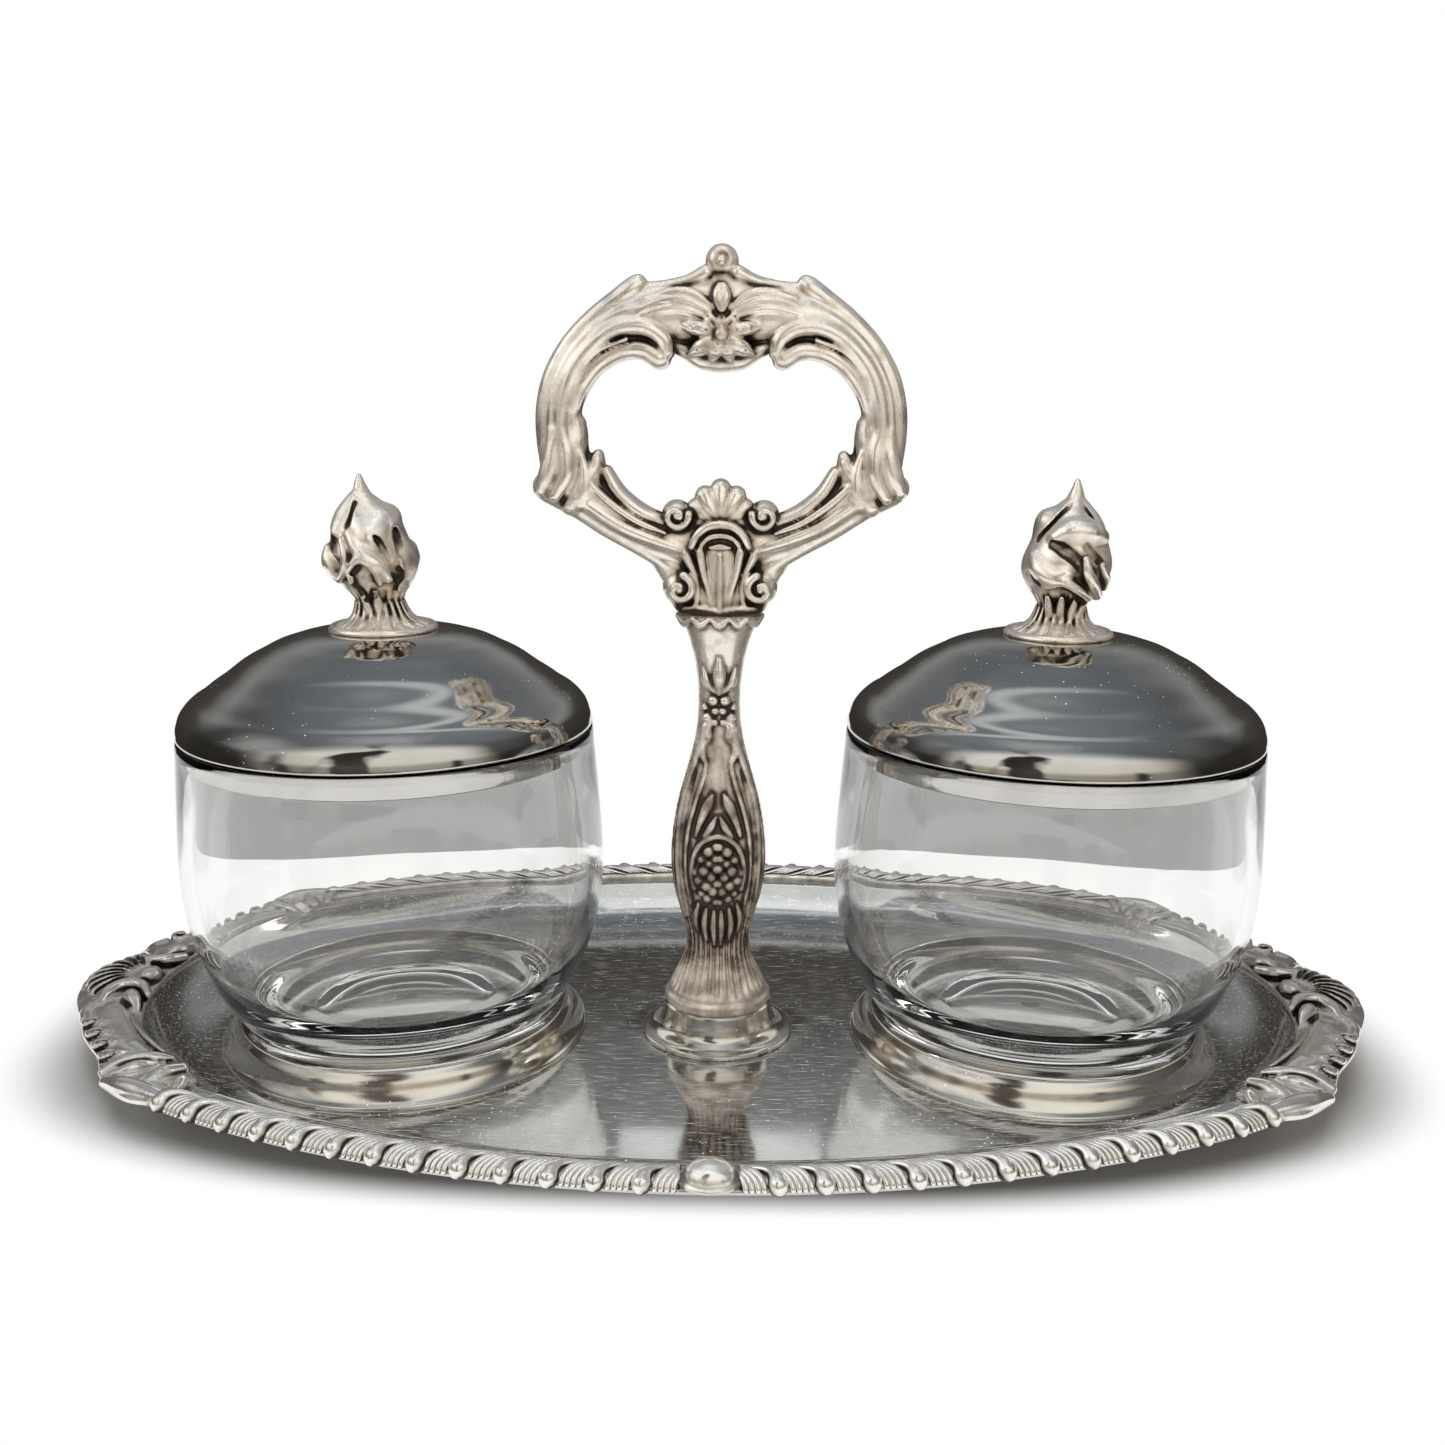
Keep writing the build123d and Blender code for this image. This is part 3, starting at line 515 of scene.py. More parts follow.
lidSilver = silverPlate("polishedSilverPlate", polishedSilver)
spunSilver = silverPlate("spunSilverPlate", dict(
    polishedSilver, base="#E8E3D9", dull="#D3CDC2", roughness=0.1, rougher=0.2))
traySilver = silverPlate("wipedSilverPlate", dict(
    polishedSilver, base="#D2D1CE", dull="#BFBFBD", roughness=0.06, rougher=0.14,
    scratchDepth=0.003, scratchShow=0.4, speckShare=0.07), along=(0.06, 1, 1))
loopSilver = castSilver("tarnishedShadedCastSilver", agedShadedCasting)
stemSilver = castSilver("darkFootCastSilver", dict(
    agedShadedCasting, open="#EEE9E0", middle="#A2968A", deep="#3A312A", roughness=0.13, pitDepth=0.05, footDarken=0.24))
borderSilver = castSilver("borderCastSilver", dict(
    agedShadedCasting, open="#F1EFEA", middle="#B4AFA7", deep="#332E29", roughness=0.09, toneShare=0.7, pitDepth=0.008))
mountSilver = castSilver("buffedCastSilver", dict(
    agedShadedCasting, open="#EDEAE4", middle="#ADA8A0", roughness=0.07, rougher=0.26, toneShare=0.7, pitDepth=0.006))
jarGlass = clearGlass("clearTableGlass", tableGlass)
brass = turnedBrass("turnedBrass", latheBrass)
print("materials made")


# Tray pan: one sheet, with the flat centre, hollow wall, level flange and the pressed dimple

traySizes = {
    "sheet": 1, "halfLength": 135.5, "halfDepth": 76.5, "endRadius": 59, "steps": 480,
    "rodHole": 2.25, "dimpleTop": 10.5, "dimpleBase": 15, "dimpleHeight": 8.3, "dimpleRound": 0.6, "dimpleSoft": 0.4,
    "dimpleFoot": 0.8, "flatRows": (0.08, 0.2, 0.35, 0.5, 0.65, 0.8, 0.92), "wallWidth": 15.2, "wallTop": 9.6,
    "wallRows": 15, "flangeTop": 10.7,
    # rim as (how far outside the oval, height over the flange's top)
    "rim": [(0.25, -0.75), (0.5, -0.25), (0.9, 0.12), (1.5, 0.22), (2.1, 0.1), (2.5, 0), (5, 0), (8, 0), (11, 0),
            (11.2, -0.2), (11.2, -0.8), (11, -1), (5, -1), (2.4, -1), (1.7, -1.2)],
}


def ovalFrame(t):  # centres and radii of the four arcs
    endX = t["halfLength"] - t["endRadius"]
    sideRadius = (endX ** 2 + t["halfDepth"] ** 2 - t["endRadius"] ** 2) / (2 * (t["halfDepth"] - t["endRadius"]))
    sideY = sideRadius - t["halfDepth"]
    return endX, sideY, sideRadius, degrees(atan2(sideY, endX))


def ovalPoint(t, out, angle):  # where the outward normal points at the angle
    endX, sideY, sideRadius, join = ovalFrame(t)
    folded = abs(((degrees(angle) + 180) % 360) - 180)
    c, s = cos(angle), sin(angle)
    if join <= folded <= 180 - join:
        return (sideRadius + out) * c, (-sideY if s > 0 else sideY) + (sideRadius + out) * s
    return (endX if folded < join else -endX) + (t["endRadius"] + out) * c, (t["endRadius"] + out) * s


def runAlong(points):  # length from the first point to each
    return np.concatenate([[0], np.cumsum(np.hypot(*np.diff(points, axis=0).T))])


def ovalAngles(t, steps):  # normals' angles spaced evenly along the rim
    fine = np.linspace(0, 2 * pi, 7201)
    run = runAlong(np.array([ovalPoint(t, 0, a) for a in fine]))
    return np.interp(np.arange(steps) / steps * run[-1], run, fine)


def atHeight(flat, z):
    return np.column_stack([flat, np.full(len(flat), z)])


def makeTray(t):
    angles = ovalAngles(t, t["steps"])
    sheet, high, foot = t["sheet"], t["dimpleHeight"], t["dimpleBase"] + t["dimpleFoot"]
    rise = t["wallTop"] - sheet
    wallRadius = (t["wallWidth"] ** 2 + rise ** 2) / (2 * rise)
    sweepEnd = atan2(t["wallWidth"], wallRadius - rise)
    edge = np.array([ovalPoint(t, -t["wallWidth"], a) for a in angles])
    heading = np.arctan2(edge[:, 1], edge[:, 0])

    def circle(radius):
        return np.column_stack([radius * np.cos(heading), radius * np.sin(heading)])

    def oval(out, z):
        return atHeight(np.array([ovalPoint(t, out, a) for a in angles]), z)

    top, under = [], []
    for face, z0, grow in ((top, sheet, 0), (under, 0, sheet)):
        shrink = sheet - z0
        for radius, z in ((t["rodHole"], high - shrink), (t["dimpleTop"] - t["dimpleRound"] - shrink, high - shrink),
                          (t["dimpleTop"] - shrink, high - t["dimpleSoft"] - shrink),
                          (t["dimpleBase"] - shrink, z0 + t["dimpleSoft"]), (foot, z0)):
            face.append(atHeight(circle(radius), z))
        for share in t["flatRows"]:
            face.append(atHeight(circle(foot) + share * (edge - circle(foot)), z0))
        r = wallRadius + grow
        for a in sweepEnd * np.linspace(0, 1, t["wallRows"]):
            face.append(oval(-t["wallWidth"] + r * sin(a), sheet + wallRadius - r * cos(a)))
    rings = top + [oval(out, t["flangeTop"] + over) for out, over in t["rim"]] + under[::-1]
    k = np.arange(t["steps"])
    n = (k + 1) % t["steps"]
    quads = []
    for row in range(len(rings)):  # the last ring joins the first
        a, b = row * t["steps"], (row + 1) % len(rings) * t["steps"]
        quads.append(np.stack([a + k, a + n, b + n, b + k], 1))
    return facedOut(meshFromArrays("trayPan", np.vstack(rings), np.vstack(quads)))


placePiece("tray_pan_sheet", makeTray(traySizes), traySilver, "tray", "tray_pan")
print("tray pan made")


# Turned pieces, each an outline of (radius, height) about its own line. An outline is a list of smooth runs
# with a corner after each, and a run starts where the last one ended.

jarSizes = {
    "steps": 192,
    "outline": [
        [(0, 4.4), (8, 4.1), (16, 3), (21, 1.6), (22.6, 1.05)],  # punt
        [(24, 1), (31.5, 1), (32.8, 1.15), (33.6, 1.7)],  # foot
        [(34.7, 3.2), (37.6, 9), (41.5, 15), (44.9, 23), (47.7, 33), (48.65, 46), (47.9, 61), (47.1, 72),
         (46.95, 75.6)],
        [(46.6, 76.7), (45.7, 77.15), (44.8, 76.7), (44.45, 75.6)],  # rim
        [(44.9, 61), (45.6, 46), (44.7, 33.5), (41.9, 23.8), (37.6, 17.6), (30.5, 13.2), (20, 11), (0, 10.1)],
    ],
}
ringSizes = {
    "steps": 192,
    "outline": [
        [(43.6, 1), (43.7, 1.5), (43.5, 1.9), (42.6, 2.6), (41.4, 4.2), (40.5, 6.2), (39.5, 7.5)],
        [(39.1, 7.95), (38.4, 7.95), (38, 7.5)],  # lip
        [(39.3, 5.6), (40.4, 3.8), (41.8, 2), (42.5, 1)], [(43.6, 1)],
    ],
}
lidSizes = {
    "steps": 256, "sheet": 0.85, "hole": 2, "top": 99.3,
    "rippleHeight": 0.09, "rippleWidth": 7.4, "rippleFrom": 20, "rippleTo": 42.5, "fadeIn": 4, "fadeOut": 3,
    "dome": [(46.55, 77.35), (46.8, 77.7), (46.7, 78.5), (46.3, 80), (45.3, 82.2), (43.3, 84.4), (40.6, 86.2),
             (36.9, 88.9), (32.6, 92), (27.8, 94.9), (22.5, 97.2), (17.5, 98.6), (12.8, 99.2), (6, 99.3)],
}
bandSizes = {
    "steps": 192,
    "outline": [
        [(43.8, 71.6), (43.81, 71.7)], [(43.84, 72.6), (43.86, 74), (43.84, 75.6), (43.81, 76.5)],
        [(43.85, 76.6), (44.3, 77.15), (45.6, 77.2)], [(45.6, 78.1)], [(43, 78.2)], [(42.9, 71.5)],
        [(43.35, 71.35), (43.8, 71.6)],
    ],
}
socketSizes = {
    "steps": 128,
    "outline": [
        [(17.6, 1), (18.1, 1.2), (18.3, 1.8), (17.9, 2.2), (16, 2.6), (14.2, 4), (13.4, 6), (13, 8.6), (13, 9.3)],
        [(2.3, 9.3)], [(2.3, 8.3)], [(12.2, 8.3)],
        [(12.6, 7.4), (12.9, 5.6), (13.8, 3.5), (15.4, 2), (17, 1)], [(17.6, 1)],
    ],
}


def outlineThrough(runs):
    points, start = [], []
    for run in runs:
        run = start + run
        curve = smoothPath(run, 6) if len(run) > 2 else np.array(run, float)
        points += [tuple(p) for p in curve[len(start):]]
        start = run[-1:]
    if hypot(points[0][0] - points[-1][0], points[0][1] - points[-1][1]) < 1e-6:
        points.pop()
    return points


def lidOutline(d):  # rippled dome, with the hollow one sheet under it
    dome = smoothPath(d["dome"], 9)
    share = (np.clip((dome[:, 0] - d["rippleFrom"]) / d["fadeIn"], 0, 1)
             * np.clip((d["rippleTo"] - dome[:, 0]) / d["fadeOut"], 0, 1))
    dome[:, 1] += d["rippleHeight"] * share * np.sin(2 * pi * dome[:, 0] / d["rippleWidth"])
    under = []
    for k in range(len(dome)):
        run = dome[min(k + 1, len(dome) - 1)] - dome[max(k - 1, 0)]
        run /= np.hypot(*run)
        under.append((dome[k][0] - d["sheet"] * abs(run[1]), dome[k][1] - d["sheet"] * abs(run[0])))
    under[0] = (dome[0][0] - d["sheet"], dome[0][1])
    under = [p for p in under if p[1] >= dome[0][1] - 1e-6]
    under[-1] = (dome[-1][0], dome[-1][1] - d["sheet"])
    return [(d["hole"], d["top"]), *map(tuple, dome[::-1]), *under, (d["hole"], d["top"] - d["sheet"])]


def makeTurned():
    pieces = []  # name, node, body, slot, material, sizes, where it stands along x
    for side in ("left", "right"):
        x = middleX(f"{side}_glass_jar")
        pieces += [
            (f"{side}_glass_jar_blown", f"{side}_glass_jar", f"{side}_jar", "clear_glass", jarGlass, jarSizes, x),
            (f"{side}_jar_ring_spun", f"{side}_jar_ring", "tray", "silver_plate", spunSilver, ringSizes, x),
            (f"{side}_lid_dome", f"{side}_lid", f"{side}_lid", "silver_plate", lidSilver, lidSizes, x),
            (f"{side}_lid_band_ring", f"{side}_lid_band", f"{side}_lid", "silver_plate", lidSilver, bandSizes, x),
        ]
    pieces.append(("handle_socket_spun", "handle_socket", "tray", "silver_plate", spunSilver, socketSizes, 0))
    for name, node, body, slotName, material, sizes, x in pieces:
        outline = outlineThrough(sizes["outline"]) if "outline" in sizes else lidOutline(sizes)
        placePiece(name, turnedMesh(name, outline, x, sizes["steps"]), material, body, node)


makeTurned()
print("turned pieces made")


# Handle stem: an oval body with reeds, a leaf trio, a flower and an oval cartouche, alike front and back

stemSizes = {
    "step": 0.315, "low": 9.3, "high": 103.5, "half": 13.8, "room": 1.2, "recess": 0.6,
    "body": [(9.3, 12.5, 12.5), (10.2, 12.9, 12.9), (11.6, 12.9, 12.9), (12.4, 12.1, 12.1), (13.4, 11.9, 11.8),
             (16, 10.5, 10.2), (21, 8.2, 7.7), (26, 7.6, 6.9), (31, 8.7, 7.6), (36, 10.1, 8.4), (41, 11, 8.9),
             (46, 11.3, 9.1), (51, 11, 8.8), (56, 10.3, 8.3), (61, 9.3, 7.6), (66, 7.9, 6.8), (71, 6.6, 5.9),
             (76, 5.6, 5.2), (81, 5.1, 4.7), (86, 5.1, 4.6), (91, 5.6, 4.9), (96, 6.6, 5.4), (100, 8, 6.2),
             (102.4, 9.5, 7), (103.5, 9.7, 7.1)],
    "reeds": 34, "reedHeight": 0.32, "reedWave": 0.6, "reedSink": 0.3, "skin": 0.25,
    # where reeds start and end, each as (height, fade)
    "footReeds": [(13.2, 2), (38, 6)], "sideReeds": [(30, 6), (76, 8)],
    # hollows as (lift, blend, points), and raised work, both as (x, z, radius) on the front
    "hollows": [(1.6, 0.8, [(0, 74, 1.4), (0, 68, 2.4), (0, 62, 2.6)]), (3.4, 0.8, [(0, 50.4, 4.2), (0, 45, 4.6)])],
    "raised": [
        [(0, 86, 0.7), (0, 89.6, 1.5), (0.2, 94, 0.4)], [(0.9, 86.2, 0.5), (2.7, 88.4, 1.2), (3.6, 91.6, 0.4)],
        [(0.3, 86.4, 0.3), (0.9, 89, 0.5), (1.1, 91.6, 0.3)],
        [(2.3, 76, 0.9), (2.8, 78, 1.35), (1.9, 79, 0.8)],
        [(2.8, 77.4, 1.1), (4.3, 72.5, 0.95), (6.3, 67, 0.8), (8.2, 60.5, 0.7), (9.2, 53, 0.6), (9.5, 46, 0.5),
         (9, 39, 0.5), (7.6, 32, 0.4)],
        [(2.2, 75, 0.4), (3.6, 73.8, 0.7), (3.6, 71.4, 0.7), (2.9, 69.6, 0.5), (3.6, 66, 0.55), (5.2, 60.5, 0.6),
         (6.6, 55, 0.6), (7.4, 49, 0.5), (7.2, 42, 0.5), (6.2, 36, 0.4)],
        [(1.3, 62.8, 0.4), (2.3, 60.6, 1.2), (3.6, 57.4, 1), (5, 53.2, 0.6)],
        [(0.5, 57.6, 0.5), (1.6, 55.4, 1), (3, 53.4, 0.7)],
        [(0, 53.3, 0.75), (2.4, 52.6, 0.8), (4.6, 50.2, 0.75), (5.8, 46.6, 0.7), (6, 43, 0.6), (5.2, 40, 0.5)],
        [(4.4, 36.5, 0.4), (5, 33, 0.8), (4.6, 29, 0.4)], [(2.6, 35.5, 0.5), (3, 31.5, 0.9), (2.5, 27, 0.4)],
        [(0.8, 35, 0.5), (0.9, 31, 0.9), (0.7, 26, 0.4)],
    ],
    "berries": [(1.3, 84.2, 1.3), (3.1, 82.6, 1), (0.8, 81.8, 1), (2.6, 80.2, 1.3), (0.9, 79.2, 0.9),
                (0.3, 50.8, 1.2), (2.1, 49.6, 1.4), (0.5, 48, 1.1), (3.7, 47.6, 1.1), (2, 46.8, 1.1), (0.2, 45.6, 1.3),
                (3.1, 45, 1.4), (5.1, 44.4, 1), (1.5, 43.6, 1.3), (4.3, 42.6, 1.3), (0.3, 42, 1.1), (2.6, 41.4, 1.4),
                (5.3, 40.6, 0.8), (1, 40, 1.3), (3.7, 39.4, 1), (2.3, 38.2, 1.2), (0.5, 37.4, 1)],
    "lipLeaves": [[(x - 1.8, 103, 0.5), (x, 101.6, 0.9), (x + 1.8, 103, 0.5)] for x in (0, 4.2, 7.8)],
    "raisedLift": 0.05, "raisedBlend": 0.45, "berryLift": -0.15, "berryBlend": 0.3, "lipLift": 0.1, "lipBlend": 0.4,
}


def makeStem(s):
    cast = newCasting((0, 0, s["low"] - s["room"]), (s["half"], s["half"], s["high"] + s["room"]), s["step"])
    body = smoothPath(s["body"], 4)
    where, (x, y, z) = windowOf(cast, (0, 0, 0), (99, 99, 199))
    wide = np.interp(z, body[:, 0], body[:, 1])
    deep = np.interp(z, body[:, 0], body[:, 2])
    reach = np.sqrt((x / wide) ** 2 + (y / deep) ** 2)
    angle = np.arctan2(x / wide, y / deep)

    def between(ends):
        (low, fadeIn), (high, fadeOut) = ends
        return np.clip((high - z) / fadeOut, 0, 1) * np.clip((z - low) / fadeIn, 0, 1)

    sides = 1 - np.clip(2.2 * np.cos(angle) ** 2 - 0.5, 0, 1)  # 0 over the front, where the raised work is
    reeds = np.cos(s["reeds"] * angle + s["reedWave"] * np.sin(z / 5)) - s["reedSink"]
    reeds = s["reedHeight"] * np.maximum(between(s["footReeds"]), between(s["sideReeds"]) * sides) * reeds
    cast["field"][where] = (reach - 1) * np.minimum(wide, deep) - reeds + s["skin"]

    def on(points, lift):  # (x, z, radius) laid on the front
        out = []
        for px, pz, pr in points:
            w, d = np.interp(pz, body[:, 0], body[:, 1]), np.interp(pz, body[:, 0], body[:, 2])
            out.append((px, d * np.sqrt(max(1 - (px / w) ** 2, 0.02)) + lift, pz, pr))
        return out

    for lift, blend, points in s["hollows"]:
        stroke(cast, on(points, lift), blend, cut=True)
    for points in s["raised"]:
        stroke(cast, on(points, s["raisedLift"]), s["raisedBlend"])
    for berry in s["berries"]:
        blob(cast, on([berry], s["berryLift"])[0][:3], berry[2], s["berryBlend"])
    for points in s["lipLeaves"]:
        stroke(cast, on(points, s["lipLift"]), s["lipBlend"])
    cutFlat(cast, s["low"])
    cutFlat(cast, s["high"], -1)
    mirrorCasting(cast, 0)
    mirrorCasting(cast, 1)
    return skinCasting(cast, s["recess"])


placeCasting("handle_stem_casting", makeStem(stemSizes), stemSilver, "tray", "handle_stem")
print("stem made")


# Handle loop: ribs, scrolls, shell and flower in one casting, alike on both halves and both faces

loopSizes = {
    "step": 0.4, "low": 103.5, "top": 181.4, "reach": 42.6, "thick": 8.2, "room": (1.2, 1.5),
    # melted body: (blend, flatness, points as (x, z, radius))
    "body": [
        (0.8, 0.78, [(0, 166.6, 5.8), (12, 167, 6), (21, 165.4, 5.4), (28.5, 160.8, 5), (33.6, 153.5, 5),
                     (35.3, 145.5, 4.9), (34, 137.5, 5.4)]),
        (0.8, 0.78, [(0, 169.4, 4.6), (9, 169.2, 4.4), (17, 168.6, 4.2)]),
        (0.8, 0.78, [(34.4, 136.5, 5.2), (29, 129.2, 5.2), (20.5, 123, 4.8), (10.5, 119.6, 5), (0, 118.4, 5.2)]),
        (0.8, 0.8, [(0, 119, 6.2), (0, 111, 6.6), (0, 103, 6.8)]),
        (0.8, 0.8, [(13, 117, 3.4), (10, 112.6, 3.6), (7, 107.6, 4.4)]),
    ],
    # raised work: (blend, depth at each end, points as (x, z, radius))
    "raised": [
        (0.5, 1.2, 1.2, [(37.2, 134.6, 1.9), (38, 141, 2.1), (37.8, 148, 2.2), (35.8, 155, 2.2), (32, 161.4, 2.1),
                         (27, 166.4, 2.1), (22.4, 169.9, 2.1), (19, 172.2, 2.3), (17.7, 173.3, 1.9)]),
        (0.35, 3.1, 3.1, [(36.2, 137.5, 0.8), (36.6, 143, 1), (35.8, 150.5, 1), (32.8, 157.6, 1), (28.2, 163, 1),
                          (22.4, 167, 0.9), (17, 168.4, 0.6)]),
        (0.4, 3.1, 3.4, [(33.6, 133.5, 1.2), (34.6, 140, 1.6), (34.3, 147.5, 1.8), (32.2, 154.6, 1.9), (28, 160.2, 1.9),
                         (22.6, 164, 2), (16.6, 164.6, 2.1), (12.6, 162.4, 1.9), (11.6, 159.6, 1.5)]),
        (0.4, 2, 2.6, [(31.6, 143.5, 1.2), (31.9, 148, 1.6), (30, 152.7, 1.8), (26.6, 156.8, 1.9), (21.6, 159.6, 2),
                         (16.8, 160, 2.1), (13.2, 158.2, 2.3)]),
        (0.3, 4.4, 3.2, [(20, 162, 0.5), (26, 159.6, 0.5), (30.4, 154.6, 0.5), (32.6, 148, 0.5), (32.4, 141, 0.4)]),
        # ridge between shoulder and knob
        (0.5, 0.8, 1.4, [(17, 172, 1.6), (11.5, 172.8, 1.3), (7, 173.8, 1.4), (3.4, 175.4, 1.7)]),
        # leaves over the flower
        (0.3, 4.2, 3.4, [(1.6, 168.4, 0.7), (6, 171.2, 1), (11, 171.4, 1), (15.6, 170.4, 0.5)]),
        (0.3, 4.4, 3.4, [(2.4, 167.6, 0.7), (7.4, 169.8, 1.1), (13, 169.6, 1.1), (19.4, 167.2, 0.5)]),
        (0.3, 4.5, 3.6, [(3.2, 166.6, 0.6), (8.4, 168.2, 1), (14, 167.6, 1.1), (20.8, 165, 0.5)]),
        (0.3, 4.8, 4.4, [(0, 168.2, 1.1), (0.8, 170.6, 1.2), (0.4, 172.8, 0.7)]),
        # flank leaves inside the hole
        (1.2, 1.4, 1.2, [(36.6, 131.5, 2.4), (34, 136.4, 2.9), (31.9, 141, 2.7), (30.9, 144.6, 1.5)]),
        (1.2, 1.8, 1, [(32.8, 127.4, 2.4), (29.9, 131.4, 2.8), (27.8, 135, 2.4), (26.8, 138, 1.2)]),
        # leaf that runs up from the wing over the joint
        (1, 3, 3.4, [(39, 130.6, 1.6), (37.6, 133.6, 2.2), (36.4, 138, 2), (36, 143, 1)]),
        (0.8, 3.4, 3.6, [(36, 129.4, 1.5), (33.8, 133.6, 1.9), (33.4, 138.4, 1.7), (34, 143, 0.9)]),
        (0.7, 3.3, 3.2, [(30.5, 127.6, 1.3), (29.6, 131, 1.6), (29.6, 134.8, 1.3), (30.4, 138.6, 0.7)]),
        (0.4, 4, 2.6, [(34.2, 131.2, 0.6), (31.8, 136.4, 0.9), (30.6, 141.6, 0.7)]),
        (0.4, 4, 2.6, [(31.4, 128.6, 0.6), (28.6, 132.8, 0.9), (26.6, 137, 0.6)]),
        # ribs of the lower arm
        (0.5, 1, 1.2, [(11, 114, 1.8), (17, 117.6, 1.8), (25, 122, 1.8), (32, 126.4, 1.8), (38, 129.4, 1.8)]),
        (0.35, 3.2, 2.4, [(6.5, 117.4, 0.9), (13.5, 119.6, 1.5), (21.5, 122.8, 1.7), (28.5, 127.2, 1.7),
                          (34.5, 131.4, 1.5), (38.6, 132.4, 1.4)]),
        (0.35, 2.6, 2, [(12.6, 124, 1.3), (17.5, 126, 1.6), (22.2, 129.8, 1.6), (25, 134.6, 1.2)]),
        (0.3, 4, 3.4, [(12, 121.6, 0.5), (18.5, 124.2, 0.8), (25.5, 129.2, 0.9), (31, 135, 0.7)]),
        # arch, lens and ribs of the keystone
        (0.25, 5, 4.4, [(0, 123.6, 1), (2.8, 123, 1), (5, 121.2, 1), (6.2, 118.6, 0.8)]),
        (0.25, 5.1, 4.8, [(0, 121.2, 0.7), (2.2, 120.8, 0.7), (3.9, 119.4, 0.6), (4.4, 117.8, 0.5)]),
        (0.25, 5, 5, [(0, 118.8, 0.9), (2.4, 118.6, 0.4)]),
        (0.3, 5, 5.2, [(0, 117.2, 0.6), (0, 112, 0.9), (0, 104.5, 0.9)]),
        (0.3, 4.6, 4.6, [(4.4, 117.6, 1), (3.6, 113, 0.9), (2.3, 108.5, 0.8), (2, 105, 0.7)]),
        (0.3, 3.6, 4, [(7.4, 117, 1.2), (5.7, 113, 1.1), (4.9, 109, 0.9), (5.4, 105.4, 0.9)]),
        (0.4, 5.6, 3.6, [(0, 104, 0.9), (3.6, 104.6, 1), (7.4, 105, 1.1)]),
    ],
    "grooves": [
        (0.3, 5.5, 5.7, [(5.5, 115.8, 0.45), (4.5, 111.6, 0.5), (3.5, 107.4, 0.45)]),
        (0.3, 5.8, 5.9, [(2.2, 116.6, 0.5), (1.9, 112, 0.55), (1.1, 107.4, 0.4)]),
    ],
    # flower petals and shell lobes as (angle, length, half width)
    "flowerHeight": 163, "petals": [(14, 9.6, 1.7), (52, 6.8, 1.6), (90, 5.6, 1.3), (-32, 8, 2), (-68, 6.2, 1.8)],
    "shellHeight": 122.6, "lobes": [(90, 9.6, 2.3), (63, 9, 2.2), (38, 8.3, 2), (14, 7, 1.7)],
    # balls of metal as (centre, radii, blend)
    "balls": [((8.9, 0, 109.3), (3.9, 4.4, 4), 0.5), ((9.6, 0, 125.2), (3.4, 4.2, 3.4), 0.5),
              ((38.8, 0, 131.2), (2.6, 2.8, 2.9), 0.5), ((0, 0, 104), (8.6, 6.2, 2), 0.8)],
    "flowerRim": [(0, 157.4, 2), (4, 157.9, 2), (7.4, 159.6, 1.6), (10.2, 160.6, 1.2)],
    "flowerEye": ((0, 5.6, 163), (1.5, 1.2, 1.5), 0.2),
    "knobFoot": [(0, 172.5, 3.8), (10, 171.2, 3)],
    "knob": [((0, 0, 177.9), (3.5, 3.4, 3.5), 0.8), ((0, 3.5, 178.3), (1.9, 1, 2.2), 0.4, True),
             ((0, 2.7, 177.8), (0.9, 0.9, 1.2), 0.3)],
    # scrolls as (centre, radius, turns, depth, start, way, thickness)
    "scrolls": [((38.7, 1.4, 131.2), 2.4, 0.9, -1.2, 2.4, -1, 1.1),
                ((9.6, 3.4, 125.2), 2.7, 1.1, -1.4, 3.6, -1, 0.95),
                ((8.9, 3.8, 109.3), 3.1, 1, -1.4, 1.9, -1, 1.1)],
}


def makeLoop(s):
    below, above = s["room"]
    cast = newCasting((0, 0, s["low"] - below), (s["reach"], s["thick"], s["top"] + above), s["step"])

    def rope(points, near, far, blend, flat=1.0, cut=False):  # (x, z, radius) with a depth at each end
        depths = np.linspace(near, far, len(points))
        stroke(cast, [(x, d, z, r) for (x, z, r), d in zip(points, depths)], blend, flat, cut)

    def spoke(height, angle, points, near, far, cut=False):  # (reach across, reach up, radius) at an angle
        c, up = cos(radians(angle)), sin(radians(angle))
        rope([(across * c, height + over * up, r) for across, over, r in points], near, far, 0.2, cut=cut)

    for blend, flat, points in s["body"]:
        rope(points, 0, 0, blend, flat)
    for ball in s["balls"]:
        blob(cast, *ball)
    for a, length, r in s["lobes"]:
        lobe = [(2, 2, 1), (length * 0.6, length * 0.6, r * 0.85), (length - 1.4, length - 1.4, r)]
        spoke(s["shellHeight"], a, lobe, 3.4, 1.6)
    for blend, near, far, points in s["raised"]:
        rope(points, near, far, blend)
    for blend, near, far, points in s["grooves"]:
        rope(points, near, far, blend, cut=True)
    for a, length, r in s["petals"]:
        petal = [(1, 1, 0.5), (length * 0.5, length * 0.5, r), (length, length * 0.92, 0.45)]
        spoke(s["flowerHeight"], a, petal, 5, 3.6)
        spoke(s["flowerHeight"], a, [(1.8, 1.8, 0.2), (length * 0.8, length * 0.76, 0.2)], 5.9, 5, cut=True)
    rope(s["flowerRim"], 1.6, 1.6, 0.5)
    blob(cast, *s["flowerEye"])
    rope(s["knobFoot"], 0, 0, 0.8, 0.7)
    for ball in s["knob"]:
        blob(cast, *ball)
    for scroll in s["scrolls"]:
        volute(cast, *scroll)
    cutFlat(cast, s["low"])
    cutFlat(cast, s["top"], -1)
    mirrorCasting(cast, 0)
    mirrorCasting(cast, 1)
    return skinCasting(cast)


placeCasting("handle_loop_casting", makeLoop(loopSizes), loopSilver, "tray", "handle_loop")
print("loop made")


# Finials: a fluted skirt and stalk under a furled bud, one casting for both lids, turned about and a little bent

